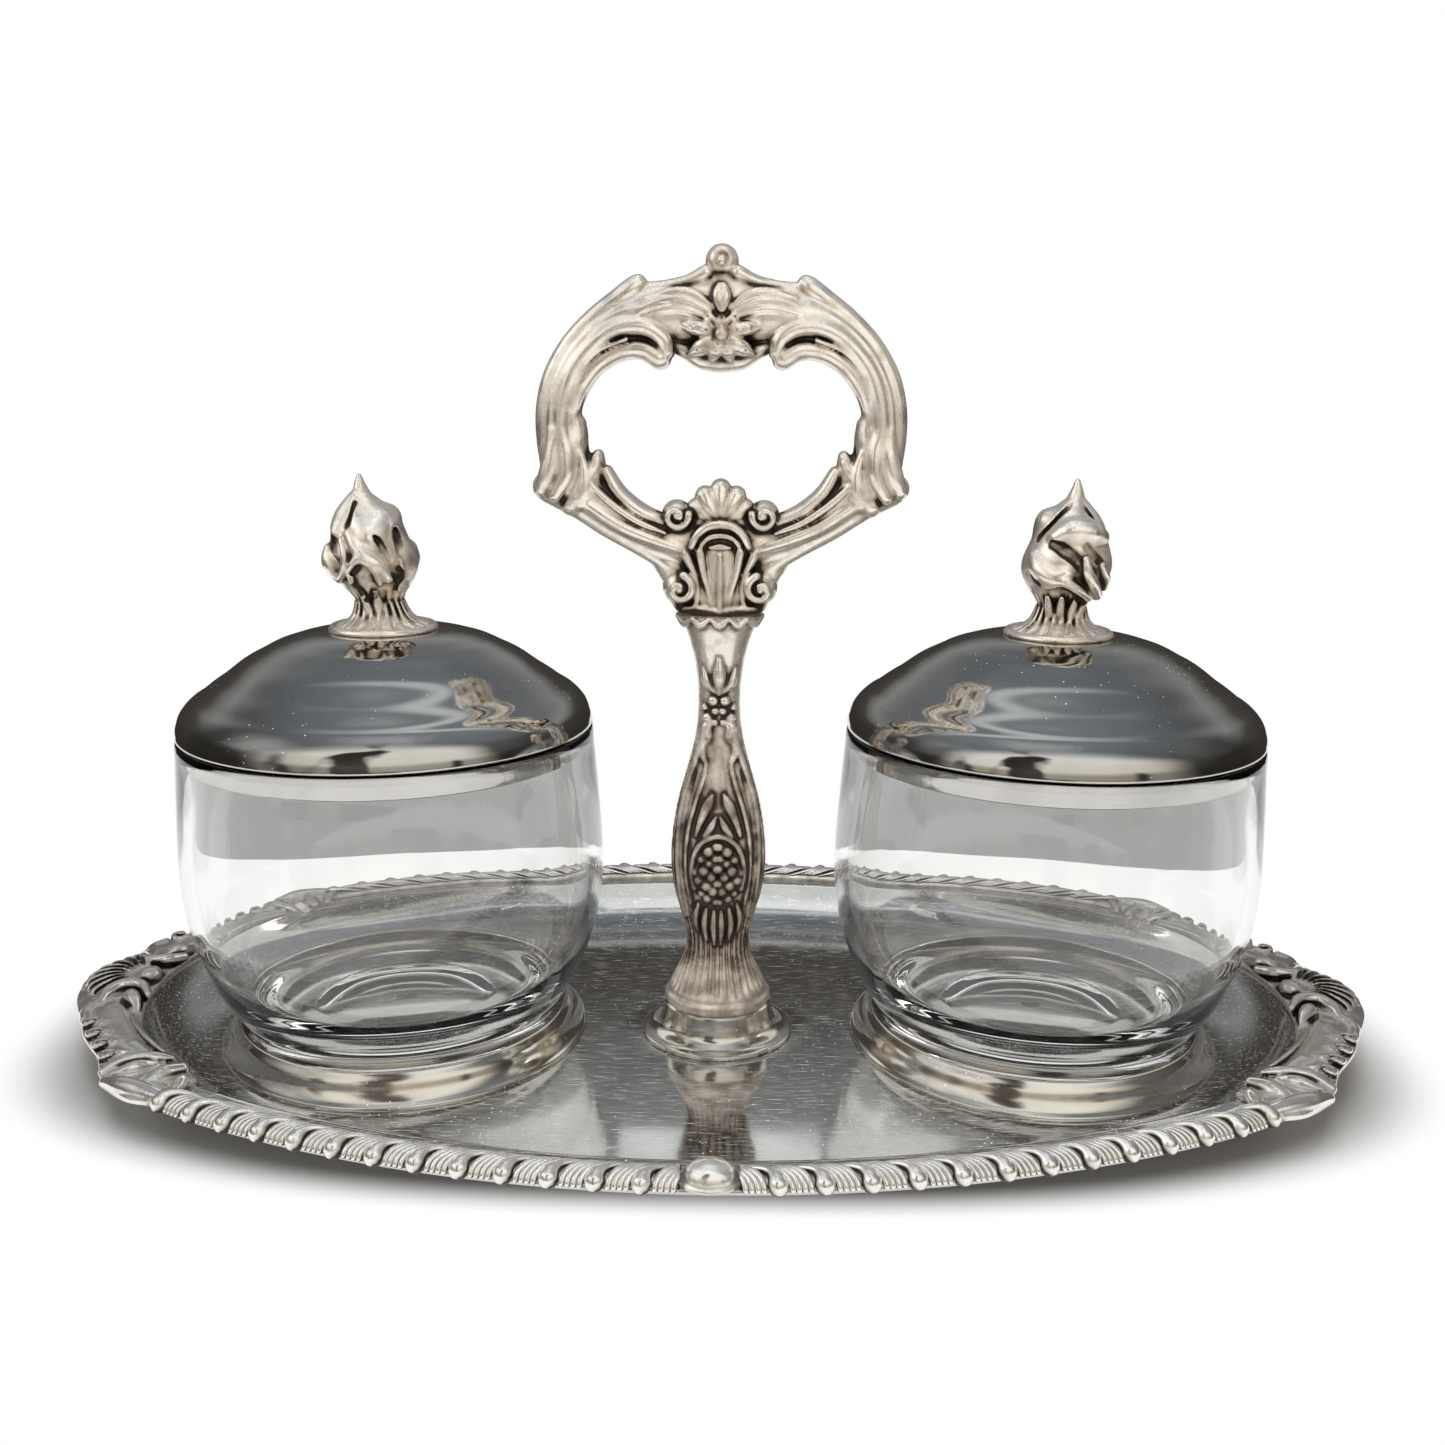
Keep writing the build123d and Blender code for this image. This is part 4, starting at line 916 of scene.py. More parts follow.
finialSizes = {
    "step": 0.26, "low": 99.3, "high": 133.5, "half": 13.4, "gridTop": 35.4, "tip": 35.1,
    "lean": {"left": -0.1, "right": 0.05}, "leanFrom": 1.5,
    # stalk and bud as (height over the lid, radius)
    "stalk": [(0, 12.2), (0.5, 12.2), (0.9, 11.9), (1, 11), (1.05, 9.6), (1.5, 8.7), (2.6, 7.2), (4, 5.8),
              (5.5, 5), (7, 5.2), (8.5, 6.2), (10, 7.4), (11.5, 8), (13, 7.8), (14, 5), (15, 1)],
    "girth": [(5, 5), (8, 6.6), (11, 8.6), (14, 9.5), (17, 9.5), (20, 8.7), (23, 7), (26, 5), (29, 3.2), (33, 1.3)],
    "flutes": 17, "fluteDepth": 0.75, "fluteSink": 0.6, "fluteEnds": [(1.05, 0.6), (12, 3)],  # (height, fade)
    "stalkTop": 16, "stalkSlope": 0.75, "ribs": 22,
    "rib": [(10.3, 0.9, 0.3), (8.2, 1.6, 0.5), (6.2, 3.3, 0.55), (5.1, 6.4, 0.5)],  # (reach, height, radius)
    "skirtRing": (11.3, 0.8, 0.55),
    "heart": ((0, 0, 15.4), (9.8, 9.4, 7.6), 0.8),
    "spine": [(0, 0, 17.5, 8.8), (0, 0, 21, 7.9), (0.1, 0, 25, 5.2), (0.2, 0, 28.6, 2.6), (0.3, 0, 31.8, 1.3),
              (0.2, 0, 33.8, 0.6)],
    "petalAngles": (-128, -104, -80, -58, 76, 100), "petal": [(5.2, 3.4, 0.7), (5.6, 6.4, 1.1), (7.6, 9.4, 0.5)],
    # work on the bud as (side, cut, blend, points of (x, z, radius, lift)); side 1 is the hooded face
    "work": [
        (1, 0, 1.2, [(-4.2, 22.2, 1.5, -0.4), (-1.2, 23.6, 2.6, -0.5), (2.6, 23.2, 2.7, -0.4), (6, 22.2, 1.5, -0.3)]),
        (1, 1, 0.8, [(-5.2, 20.8, 0.7, 0.2), (-2.8, 19.6, 1.2, -0.2), (-0.2, 17.8, 1.1, 0), (1.8, 15.2, 0.5, 0.5)]),
        (1, 1, 0.7, [(2, 20.4, 0.6, 0.4), (4.6, 18.2, 0.9, 0.1), (7.2, 14.4, 0.6, 0.3)]),
        (1, 1, 0.6, [(-7.4, 21.6, 0.6, 0.2), (-4.8, 24.6, 0.7, 0.3), (-2.4, 27.8, 0.5, 0.3), (-1.3, 29.8, 0.3, 0.2)]),
        (1, 1, 0.6, [(3.4, 25.2, 0.5, 0.4), (2, 27.8, 0.5, 0.3), (1.3, 29.8, 0.3, 0.2)]),
        (1, 0, 1.4, [(-8, 18, 1.2, -0.8), (-6.8, 15.2, 2.2, -0.9), (-4.4, 13.6, 2.2, -0.6), (-2, 14.4, 1.5, -0.4)]),
        (1, 1, 0.8, [(-8, 13.6, 0.6, 0.4), (-7.2, 12.2, 0.8, 0.5), (-6.6, 13.4, 0.4, 0.4)]),
        (1, 0, 0.8, [(1.8, 18, 0.7, 0.4), (2.6, 15, 1.2, 0.4), (4.4, 12, 1.5, 0.2), (6.4, 9.6, 1.2, 0.2)]),
        (1, 1, 0.5, [(4, 16, 0.4, 0.6), (6, 13.2, 0.5, 0.7), (8, 11, 0.4, 0.5)]),
        (1, 0, 0.8, [(5.8, 16.4, 0.8, 0.1), (7.4, 13.6, 1.1, 0.1), (8.4, 11, 0.9, 0.1)]),
        (1, 0, 0.8, [(-5.4, 12, 0.8, 0.4), (-2.6, 13, 1.1, 0.6), (0.8, 11.4, 1.1, 0.7), (3.8, 9.4, 1, 0.6)]),
        (1, 1, 0.7, [(-4.8, 10.6, 0.5, 0.6), (-2.2, 11.4, 0.7, 0.8), (0.8, 9.8, 0.7, 0.8), (3.2, 8.2, 0.5, 0.6)]),
        (-1, 0, 2.4, [(1.6, 21, 2.8, -1.8), (4.2, 23.8, 2.8, -1.8), (5.6, 25.6, 2, -0.6)]),
        (-1, 1, 0.8, [(6, 23, 0.7, 0.4), (7.4, 20.6, 1.2, 0.1), (7.8, 17.8, 0.7, 0.3)]),
        (-1, 1, 0.8, [(2.4, 21.8, 0.6, 0.4), (4.2, 20, 0.6, 0.4), (5.8, 16.8, 0.4, 0.5)]),
        (-1, 0, 0.6, [(-3.4, 10.8, 0.6, 0.4), (-2.6, 14.6, 0.9, 0.6), (-0.2, 16.6, 0.9, 0.8), (2.2, 14.8, 0.8, 0.7),
                      (3, 11.4, 0.6, 0.5)]),
        (-1, 1, 0.8, [(-0.8, 10.2, 0.5, 0.5), (0.2, 13.4, 0.6, 0.6)]),
        (-1, 0, 0.5, [(6, 9.6, 0.5, 0.2), (7.4, 13, 0.7, 0.2), (7.6, 16, 0.5, 0.2)]),
        (-1, 0, 1.8, [(-5.6, 21.4, 1.8, -1), (-4, 24.6, 2.2, -1.4), (-2.6, 27.4, 1.6, -1), (-1.6, 29.6, 0.8, -0.6)]),
        (-1, 1, 1, [(-2.8, 22.8, 0.3, 0.5), (-1.8, 25.2, 0.35, 0.4), (-1, 28.2, 0.2, 0.2)]),
        (-1, 1, 0.6, [(-6.8, 21.4, 1.1, 0.3), (-6.2, 19, 1.6, 0.1), (-5, 16.4, 0.9, 0.2)]),
        (-1, 0, 0.9, [(-8.4, 18.2, 1.2, -0.2), (-8.1, 15.4, 2.2, -0.6), (-7.2, 12.9, 1.4, 0)]),
        (-1, 0, 0.7, [(-4.2, 20.4, 0.8, 0.2), (-3.6, 17.2, 1, 0.4), (-4.4, 14, 1, 0.3), (-6.6, 11.8, 0.8, 0.2)]),
        (-1, 0, 1.2, [(-2.2, 21.6, 1.2, -0.1), (-0.2, 18, 1.8, -0.2), (2.8, 15.8, 1.8, -0.3), (4.6, 12.6, 1.2, -0.1)]),
        (-1, 1, 0.7, [(-2.6, 13.8, 0.5, 0.5), (-0.4, 15, 0.7, 0.7), (1.2, 13.4, 0.5, 0.6)]),
        (-1, 1, 0.5, [(6.2, 15, 0.4, 0.5), (7.6, 13.6, 0.4, 0.4), (6.6, 11.6, 0.4, 0.4), (5.8, 13.2, 0.3, 0.5)]),
        (-1, 1, 0.5, [(-4.8, 10.2, 0.4, 0.6), (-2, 11.2, 0.5, 0.7), (-0.6, 13, 0.4, 0.6)]),
        (-1, 1, 0.5, [(-3.4, 8.4, 0.4, 0.6), (-0.6, 9.6, 0.5, 0.7), (1.4, 11.8, 0.4, 0.6)]),
        (-1, 1, 0.5, [(-1.2, 7.4, 0.4, 0.6), (1.6, 8.8, 0.5, 0.7), (3.8, 11, 0.4, 0.6)]),
    ],
}


def makeFinial(s):
    cast = newCasting((-s["half"], -s["half"], -1), (s["half"], s["half"], s["gridTop"]), s["step"])
    where, (x, y, z) = windowOf(cast, (-99, -99, -99), (99, 99, 99))
    reach, angle = np.sqrt(x * x + y * y), np.arctan2(y, x)
    stalk = np.array(s["stalk"])
    radius = np.interp(z, stalk[:, 0], stalk[:, 1])
    (low, fadeIn), (high, fadeOut) = s["fluteEnds"]
    fluted = np.clip((z - low) / fadeIn, 0, 1) * np.clip((high - z) / fadeOut, 0, 1)
    radius = radius + fluted * (s["fluteDepth"] * np.abs(np.cos(s["flutes"] / 2 * angle)) - s["fluteSink"])
    cast["field"][where] = np.maximum((reach - radius) * s["stalkSlope"], z - s["stalkTop"])

    def spoke(t, points, blend, per=5):  # (reach, height, radius) at one angle
        stroke(cast, [(r * cos(t), r * sin(t), h, thick) for r, h, thick in points], blend, per=per)

    r, h, thick = s["skirtRing"]
    stroke(cast, [(r * cos(t), r * sin(t), h, thick) for t in np.linspace(0, 2 * pi, 41)], 0.3, per=1)
    for t in np.linspace(0, 2 * pi, s["ribs"] + 1)[:-1]:  # ribs down the flare
        spoke(t, s["rib"], 0.25, 2)
    girth = smoothPath(s["girth"], 4)
    blob(cast, *s["heart"])
    stroke(cast, s["spine"], 1.4)
    for a in s["petalAngles"]:  # petals that rise from the stalk
        spoke(radians(a), s["petal"], 0.3)
    for side, cut, blend, points in s["work"]:
        path = []
        for px, pz, pr, lift in points:
            depth = sqrt(max(np.interp(pz, girth[:, 0], girth[:, 1]) ** 2 - px * px, 1)) + lift
            path.append((side * px, -side * depth, pz, pr))
        stroke(cast, path, blend, cut=bool(cut))
    cutFlat(cast, 0)
    cutFlat(cast, s["tip"], -1)
    return skinCasting(cast)


def placeFinials(s):
    verts, quads, hollow = makeFinial(s)
    for side, way in (("left", -1), ("right", 1)):
        x = middleX(f"{side}_finial") + s["lean"][side] * np.clip(verts[:, 2] - s["leanFrom"], 0, 99)
        spun = np.column_stack([x + way * verts[:, 0], way * verts[:, 1], verts[:, 2] + s["low"]])
        placeCasting(f"{side}_finial_casting", (spun, quads, hollow), loopSilver, f"{side}_lid", f"{side}_finial")


placeFinials(finialSizes)
print("finials made")


# Shell mounts at the ends, in polar places about the end arc's centre

mountSizes = {
    "step": 0.34, "low": 10.7, "high": 17, "room": 1.2, "from": (108, 0), "to": (156.5, 62),
    "endX": 76.5, "endRadius": 59, "inner": 0.6, "lastAngle": 57, "lastSlope": 1.2,
    "plate": 1.3, "plateRise": 0.9, "riseWidth": 6, "edgeDrop": 1.1, "dropWidth": 3,
    # scalloped outer edge as (angle, width from the end arc)
    "edge": [(0, 19.3), (7, 18), (13, 15.8), (19, 13.8), (24, 13.2), (29, 12.2), (34, 11.4), (38, 12), (43, 13.4),
             (48, 14), (53, 14), (57, 12.2), (60, 11)],
    # fan of soft ribs and the grooves between, as (angle, length) about a point on the middle line
    "fanX": 139.2, "ribs": [(0, 13.6), (15, 13.6), (30, 13.4), (45, 13.6), (60, 14.2)],
    "grooves": (7.5, 22.5, 37.5, 52.5),
    # strokes as (blend, flatness, cut, points as (x, y, height, radius))
    "scrolls": [  # C-scroll round the fan, with a bud that catches the light
        (0.5, 1, 0, [(144.8, 16, 1.8, 1), (144.6, 10.4, 2.8, 1.2), (141.6, 7.2, 3.4, 1.3), (137.6, 8, 3.4, 1.3),
                     (135, 11.6, 2.6, 1)]),
        (0.5, 1, 0, [(139.4, 11.4, 2.4, 1.1), (137.6, 13.8, 3, 1.8), (135.6, 16.6, 2.4, 1.1), (134.2, 19.2, 1.8, 0.4)]),
    ],
    "bud": ((139, 0, 2.6), (2.6, 3.4, 1.9), 0.6),
    "trail": [  # smooth dish between the scrolls and the leaf trail
        (0.6, 1, 0, [(145.6, 15.4, 1.5, 1.4), (146.2, 19.4, 1.4, 1.3), (144.6, 23.6, 1.5, 1)]),
        (0.9, 0.9, 0, [(139.6, 18, 0.6, 2.4), (135, 27, 0.5, 2.8), (128.2, 35.5, 0.6, 2.4), (122, 41, 0.5, 1.6)]),
        (1.4, 1, 1, [(140.4, 17, 4.2, 1.4), (135.6, 26.5, 4.2, 2), (129.4, 34.4, 4.1, 1.4)]),
        (0.4, 1, 0, [(136.6, 16.4, 1.6, 0.6), (132.6, 24.6, 1.8, 0.8), (126.6, 32.6, 1.8, 0.8),
                     (120.4, 38.6, 1.5, 0.5)]),
    ],
    "curls": [(141.8, 26.2, 2.5), (138.4, 31.6, 2.4), (134.8, 36.8, 2.4), (131, 41.8, 2.3)],  # (x, y, radius)
    "curlHeight": 1.1, "curlTurns": 0.95, "curlDepth": 1.5, "curlTwist": 2.4,
    "crossing": [  # leaves by the tray, the smooth panel and the drop that meets the border
        (0.6, 1, 0, [(117.4, 41.4, 1.4, 0.6), (121, 42.8, 2.3, 1.4), (126, 45, 2.4, 1.6), (129.6, 47.6, 1.2, 1.1)]),
        (0.6, 1, 0, [(119.8, 44.4, 1.6, 0.6), (122.6, 47.2, 2.4, 1.4), (126.6, 49.8, 1.6, 1.1)]),
        (0.8, 1, 0, [(127.2, 52, 1.2, 1.3), (122.4, 54.4, 1.6, 2.3), (117.4, 56.6, 1.6, 2.2), (113, 58.4, 1.4, 1.5)]),
        (0.6, 1, 0, [(113.4, 46.4, 1.4, 1.5), (116.2, 49.6, 1.7, 2.1), (118.4, 53, 1.3, 1.3)]),
        (0.5, 1, 0, [(110.8, 49.4, 1.2, 1), (111, 53.4, 2, 1.5), (111.2, 58, 1, 1.2)]),
    ],
}


def makeMount(m):
    z0 = m["low"]
    cast = newCasting((*m["from"], z0 - m["room"]), (*m["to"], m["high"]), m["step"])

    # plate with the scalloped outer edge, as a distance from its outline in polar places
    edge = smoothPath(m["edge"], 4)
    where, (x, y, z) = windowOf(cast, (0, 0, 0), (999, 999, 99))
    reach = np.hypot(x - m["endX"], y)
    angle = np.degrees(np.arctan2(y, x - m["endX"]))
    out = m["endRadius"] + np.interp(angle, edge[:, 0], edge[:, 1])
    inner = m["endRadius"] + m["inner"]
    level = z0 + m["plate"] + m["plateRise"] * np.clip((reach - inner) / m["riseWidth"], 0, 1)
    level = level - m["edgeDrop"] * np.clip((reach - out + m["dropWidth"]) / m["dropWidth"], 0, 1)
    plate = np.maximum(np.maximum(reach - out, inner - reach), z - level)
    cast["field"][where] = np.maximum(plate, (angle - m["lastAngle"]) * m["lastSlope"])

    def leaf(blend, flat, cut, points):
        stroke(cast, [(px, py, z0 + pz, pr) for px, py, pz, pr in points], blend, flat, bool(cut))

    def rib(a, blend, cut, points):  # (reach, height, radius) at one angle of the fan
        t = radians(a)
        leaf(blend, 1, cut, [(m["fanX"] + r * cos(t), r * sin(t), h, thick) for r, h, thick in points])

    for a, length in m["ribs"]:
        rib(a, 0.3, False, [(2, 2.2, 0.8), (7, 3, 1.5), (length - 2, 1.9, 1.9), (length, 0.7, 1.9)])
    for a in m["grooves"]:
        rib(a, 0.4, True, [(3.4, 4, 0.4), (8, 3.9, 0.75), (13, 2.6, 0.9)])
    for row in m["scrolls"]:
        leaf(*row)
    (bx, by, bz), radii, blend = m["bud"]
    blob(cast, (bx, by, z0 + bz), radii, blend)
    for row in m["trail"]:
        leaf(*row)
    for px, py, radius in m["curls"]:  # small curled leaves along the outer edge
        heading = atan2(py, px - m["endX"])
        volute(cast, (px, py, z0 + m["curlHeight"]), radius, m["curlTurns"], m["curlDepth"],
               heading + m["curlTwist"], -1, plane="xy")
        c, s = cos(heading), sin(heading)
        leaf(0.5, 1, 0, [(px - 4.4 * c, py - 4.4 * s, 1.6, 0.5), (px - 2 * c, py - 2 * s, 2.1, 0.9)])
    for row in m["crossing"]:
        leaf(*row)
    cutFlat(cast, z0)
    mirrorCasting(cast, 1)
    return skinCasting(cast)


mountSkin = makeMount(mountSizes)
for side, skin in (("right", mountSkin), ("left", mirrorSkin(mountSkin))):
    placeCasting(f"{side}_shell_mount_casting", skin, mountSilver, "tray", f"{side}_shell_mount")
print("mounts made")


# Centre bosses of the border: a smooth oval stone in a thin rim

bossSizes = {
    "step": 0.22, "low": 10.7, "high": 15.6, "halfWidth": 5.9, "halfDepth": 4.9, "outward": 84.5,
    "rim": (5.45, 4.45, 0.55, 0.42), "stone": ((0, -0.1, 0.5), (5.35, 4.3, 4.2), 0.2),
}


def makeBoss(b):
    cast = newCasting((0, -6, -1), (6.6, 6, b["high"] - b["low"] + 0.5), b["step"])
    where, (x, y, z) = windowOf(cast, (-9, -9, -9), (9, 9, 9))
    reach = np.sqrt((x / b["halfWidth"]) ** 2 + (y / b["halfDepth"]) ** 2)
    cast["field"][where] = np.maximum((reach - 1) * b["halfDepth"], z - 0.5)
    wide, deep, height, thick = b["rim"]
    stroke(cast, [(wide * sin(t), -deep * cos(t), height, thick) for t in np.linspace(0, pi, 21)], 0.3, per=1)
    blob(cast, *b["stone"])
    cutFlat(cast, 0)
    mirrorCasting(cast, 0)
    return skinCasting(cast)


def placeBosses(b):
    verts, quads, hollow = makeBoss(b)
    for node, side in (("front_boss", 1), ("back_boss", -1)):
        moved = np.column_stack([side * verts[:, 0], side * (verts[:, 1] - b["outward"]), verts[:, 2] + b["low"]])
        placeCasting(f"{node}_casting", (moved, quads, hollow), borderSilver, "tray", node)


placeBosses(bossSizes)
print("bosses made")


# Border: a domed strip, and Geometry Nodes that set a lobe with its four reeds at every pitch along it

borderSizes = {
    "pitch": 8.35, "middle": 8.4, "firstX": 5.9, "firstRun": 6.6, "lastRun": 2.2, "bossSide": 5.5, "mountAngle": 57,
    # lobe and reed as (along, across, height, radius)
    "lobe": [(0, -2.4, 0.9, 2.1), (-0.3, -1.3, 1.8, 1.75), (-1.3, 0.1, 2.3, 1.15), (-3.2, 1.2, 2.3, 0.8),
             (-6, 2.2, 1.8, 0.55), (-9, 3, 1.2, 0.3)],
    "reed": [(0, -3.1, 0.4, 0.64), (-0.15, -2.5, 1.2, 0.68), (-0.8, -1.3, 2.1, 0.7), (-2.4, 0.1, 2.6, 0.68),
             (-4.8, 1.5, 2.4, 0.6), (-8, 2.7, 1.5, 0.4)],
    "lobeSides": 10, "reedSides": 8, "reedShifts": [-2.6, -3.75, -4.9, -6.05],
    # strip as (across, height), with the hollow value that dulls its metal and paints it darker, as tarnish and shade
    # under the lobes
    "strip": [(-2.9, 0), (-2.95, 0.5), (-2.5, 1), (-1.6, 1.5), (-0.2, 1.8), (1.4, 1.7), (2.6, 1.3), (3.4, 0.9),
              (3.6, 0.4), (3.6, 0)],
    "stripShadeAndTarnish": 0.42, "stripSteps": 220, "pathSteps": 160,
}


def ropeMesh(points, sides, per):  # round rope with closed ends, painted darker at its foot through its hollow value, as tarnish and shade
    path = smoothPath(points, per)
    heading = np.gradient(path[:, :3], axis=0)
    heading /= np.linalg.norm(heading, axis=1)[:, None]
    stations = [(path[0], heading[0], -0.95, 0.3), (path[0], heading[0], -0.6, 0.8)]  # the ends are rounded off
    stations += [(p, h, 0, 1) for p, h in zip(path, heading)]
    stations += [(path[-1], heading[-1], 0.9, 0.3)]
    verts, quads, hollow, rows = [], [], [], []
    for point, way, beyond, share in stations:
        centre, radius = point[:3] + way * point[3] * beyond, point[3] * share
        across = np.cross(way, (0, 0, 1))
        across /= np.linalg.norm(across)
        over = np.cross(across, way)
        rows.append(list(range(len(verts), len(verts) + sides)))
        for t in 2 * pi * np.arange(sides) / sides:
            verts.append(centre + radius * (cos(t) * across + sin(t) * over))
            # painted shade: the hollow value comes from the side of the rope alone, highest underneath
            hollow.append(min(max(0.85 - sin(t), 0), 1))
    for a, b in zip(rows, rows[1:]):
        for k in range(sides):
            n = (k + 1) % sides
            quads.append([a[k], a[n], b[n], b[k]])
    return verts, quads + [rows[0][::-1], rows[-1]], hollow


def unitMesh(b, way):  # one lobe and its reeds about the path's point; way mirrors it
    verts, faces, hollow = [], [], []
    ropes = [(b["lobe"], 0, b["lobeSides"])] + [(b["reed"], shift, b["reedSides"]) for shift in b["reedShifts"]]
    for points, shift, sides in ropes:
        moved = [(px + shift, way * py, pz, pr) for px, py, pz, pr in points]
        ropeVerts, ropeFaces, ropeHollow = ropeMesh(moved, sides, 2)
        faces += [[len(verts) + k for k in face] for face in ropeFaces]
        verts += ropeVerts
        hollow += ropeHollow
    return setHollow(facedOut(meshFromFaces("borderUnit", verts, faces)), hollow)


def borderTree(material):
    tree = bpy.data.node_groups.new("borderLobes", "GeometryNodeTree")
    face = tree.interface
    face.new_socket("Geometry", in_out="INPUT", socket_type="NodeSocketGeometry")
    sockets = {name: face.new_socket(name, in_out="INPUT", socket_type="NodeSocket" + kind)
               for name, kind in (("Unit", "Object"), ("Count", "Int"), ("Size", "Float"))}
    face.new_socket("Geometry", in_out="OUTPUT", socket_type="NodeSocketGeometry")
    start = addNode(tree, "NodeGroupInput")
    curve = addNode(tree, "GeometryNodeMeshToCurve", {"Mesh": start.outputs["Geometry"]})
    points = addNode(tree, "GeometryNodeCurveToPoints", {
        "Curve": curve, "Count": start.outputs["Count"]}, mode="COUNT")
    along = addNode(tree, "FunctionNodeAlignRotationToVector", {"Vector": points.outputs["Tangent"]},
                    axis="X", pivot_axis="Z")
    unit = addNode(tree, "GeometryNodeObjectInfo", {"Object": start.outputs["Unit"]})
    placed = addNode(tree, "GeometryNodeInstanceOnPoints", {
        "Points": points.outputs["Points"], "Instance": unit.outputs["Geometry"],
        "Rotation": along, "Scale": start.outputs["Size"]})
    real = addNode(tree, "GeometryNodeRealizeInstances", {"Geometry": placed})
    done = addNode(tree, "GeometryNodeSetMaterial", {"Geometry": real, "Material": material})
    addNode(tree, "NodeGroupOutput", {"Geometry": done})
    return tree, sockets


def borderPath(t, b, side, face):  # points along one quarter of the border, from the boss outward
    radius = ovalFrame(t)[2] + b["middle"]
    angles = np.linspace(pi / 2 - b["firstX"] / radius, radians(b["mountAngle"]), 400)
    points = np.array([ovalPoint(t, b["middle"], a) for a in angles])
    return angles, points * (side, face), runAlong(points)


def lobesAlong(name, b, tree, sockets, coords, count, way):  # the node tree's lobes as a plain mesh
    line = meshFromFaces(name + "Path", coords, [], [(k, k + 1) for k in range(len(coords) - 1)])
    guide = addObject(name + "_guide", line)
    unit = addObject(name + "_unit", unitMesh(b, way))
    change = guide.modifiers.new("lobes", "NODES")
    change.node_group = tree
    for socket, value in (("Unit", unit), ("Count", count), ("Size", 1.0)):
        change[sockets[socket].identifier] = value
    depsgraph = bpy.context.evaluated_depsgraph_get()
    lobes = bpy.data.meshes.new_from_object(guide.evaluated_get(depsgraph))
    guide.modifiers.clear()
    for thing in (guide, unit):
        bpy.data.objects.remove(thing)
    return lobes


def stripMesh(name, t, b, side, face, angles):  # domed strip under the lobes, closed at both ends
    verts = []
    for across, height in b["strip"]:
        flat = np.array([ovalPoint(t, b["middle"] - across, a) for a in angles]) * (side, face)
        verts += list(atHeight(flat, t["flangeTop"] + height))
    rows, steps = len(b["strip"]), len(angles)
    faces = []
    for row in range(rows):
        a, c = row * steps, (row + 1) % rows * steps
        faces += [(a + k, a + k + 1, c + k + 1, c + k) for k in range(steps - 1)]
    faces.append([row * steps for row in range(rows)][::-1])
    faces.append([row * steps + steps - 1 for row in range(rows)])
    # painted shade: one hollow value for the whole strip makes it darker than the lobes over it
    return setHollow(facedOut(meshFromFaces(name + "Strip", verts, faces)), [b["stripShadeAndTarnish"]] * len(verts))


def makeBorder(t, b):
    tree, sockets = borderTree(borderSilver)
    for faceName, face in (("front", -1), ("back", 1)):
        for sideName, side in (("left", -1), ("right", 1)):
            name = f"gadroon_{faceName}_{sideName}"
            angles, points, run = borderPath(t, b, side, face)
            reach = run[-1] - b["lastRun"] - b["firstRun"]
            marks = np.linspace(b["firstRun"], run[-1] - b["lastRun"], b["pathSteps"])
            coords = [(np.interp(m, run, points[:, 0]), np.interp(m, run, points[:, 1]), t["flangeTop"]) for m in marks]
            lobes = lobesAlong(name, b, tree, sockets, coords, round(reach / b["pitch"]) + 1, -side * face)
            even = np.interp(np.linspace(0, run[-1], b["stripSteps"]), run, angles)
            work = bmesh.new()
            work.from_mesh(stripMesh(name, t, b, side, face, even))
            work.from_mesh(lobes)
            for v in work.verts:  # the first reeds end at the boss
                v.co.x = side * max(side * v.co.x, b["bossSide"] * mm)
            whole = bpy.data.meshes.new(name + "Whole")
            work.to_mesh(whole)
            work.free()
            placePiece(f"{name}_casting", whole, borderSilver, "tray", name)


makeBorder(traySizes, borderSizes)
print("border made")


# Hidden hardware keeps its CAD shape
for node in ("handle_tie_rod", "tie_rod_washer", "tie_rod_nut", "left_finial_washer", "right_finial_washer",
             "left_finial_nut", "right_finial_nut"):
    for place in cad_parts[node].material_slots:
        place.material = brass


# Stage: a white floor, grey by the tray as a painted shadow that also keeps the cast shadow, patches of room that only
# metal sees, soft lights

def seenRays(tree):  # 1 for what the camera, metal and glass see, 0 for the light on the object
    rays = addNode(tree, "ShaderNodeLightPath")
    seen = addNode(tree, "ShaderNodeMath", {
        0: rays.outputs["Is Camera Ray"], 1: rays.outputs["Is Glossy Ray"]}, operation="ADD")
    return addNode(tree, "ShaderNodeMath", {
        0: seen, 1: rays.outputs["Is Transmission Ray"]}, operation="ADD", use_clamp=True)


stageSizes = {
    "floorRadius": 6000, "floorSides": 96, "paintedShadowGrey": "#7C7B79",
    # the painted shadow's oval, how square it is, and where it fades
    "shadowLength": 190, "shadowDepth": 90, "fullness": 2.6, "fadeStart": 0.77, "fadeEnd": 0.9,
}


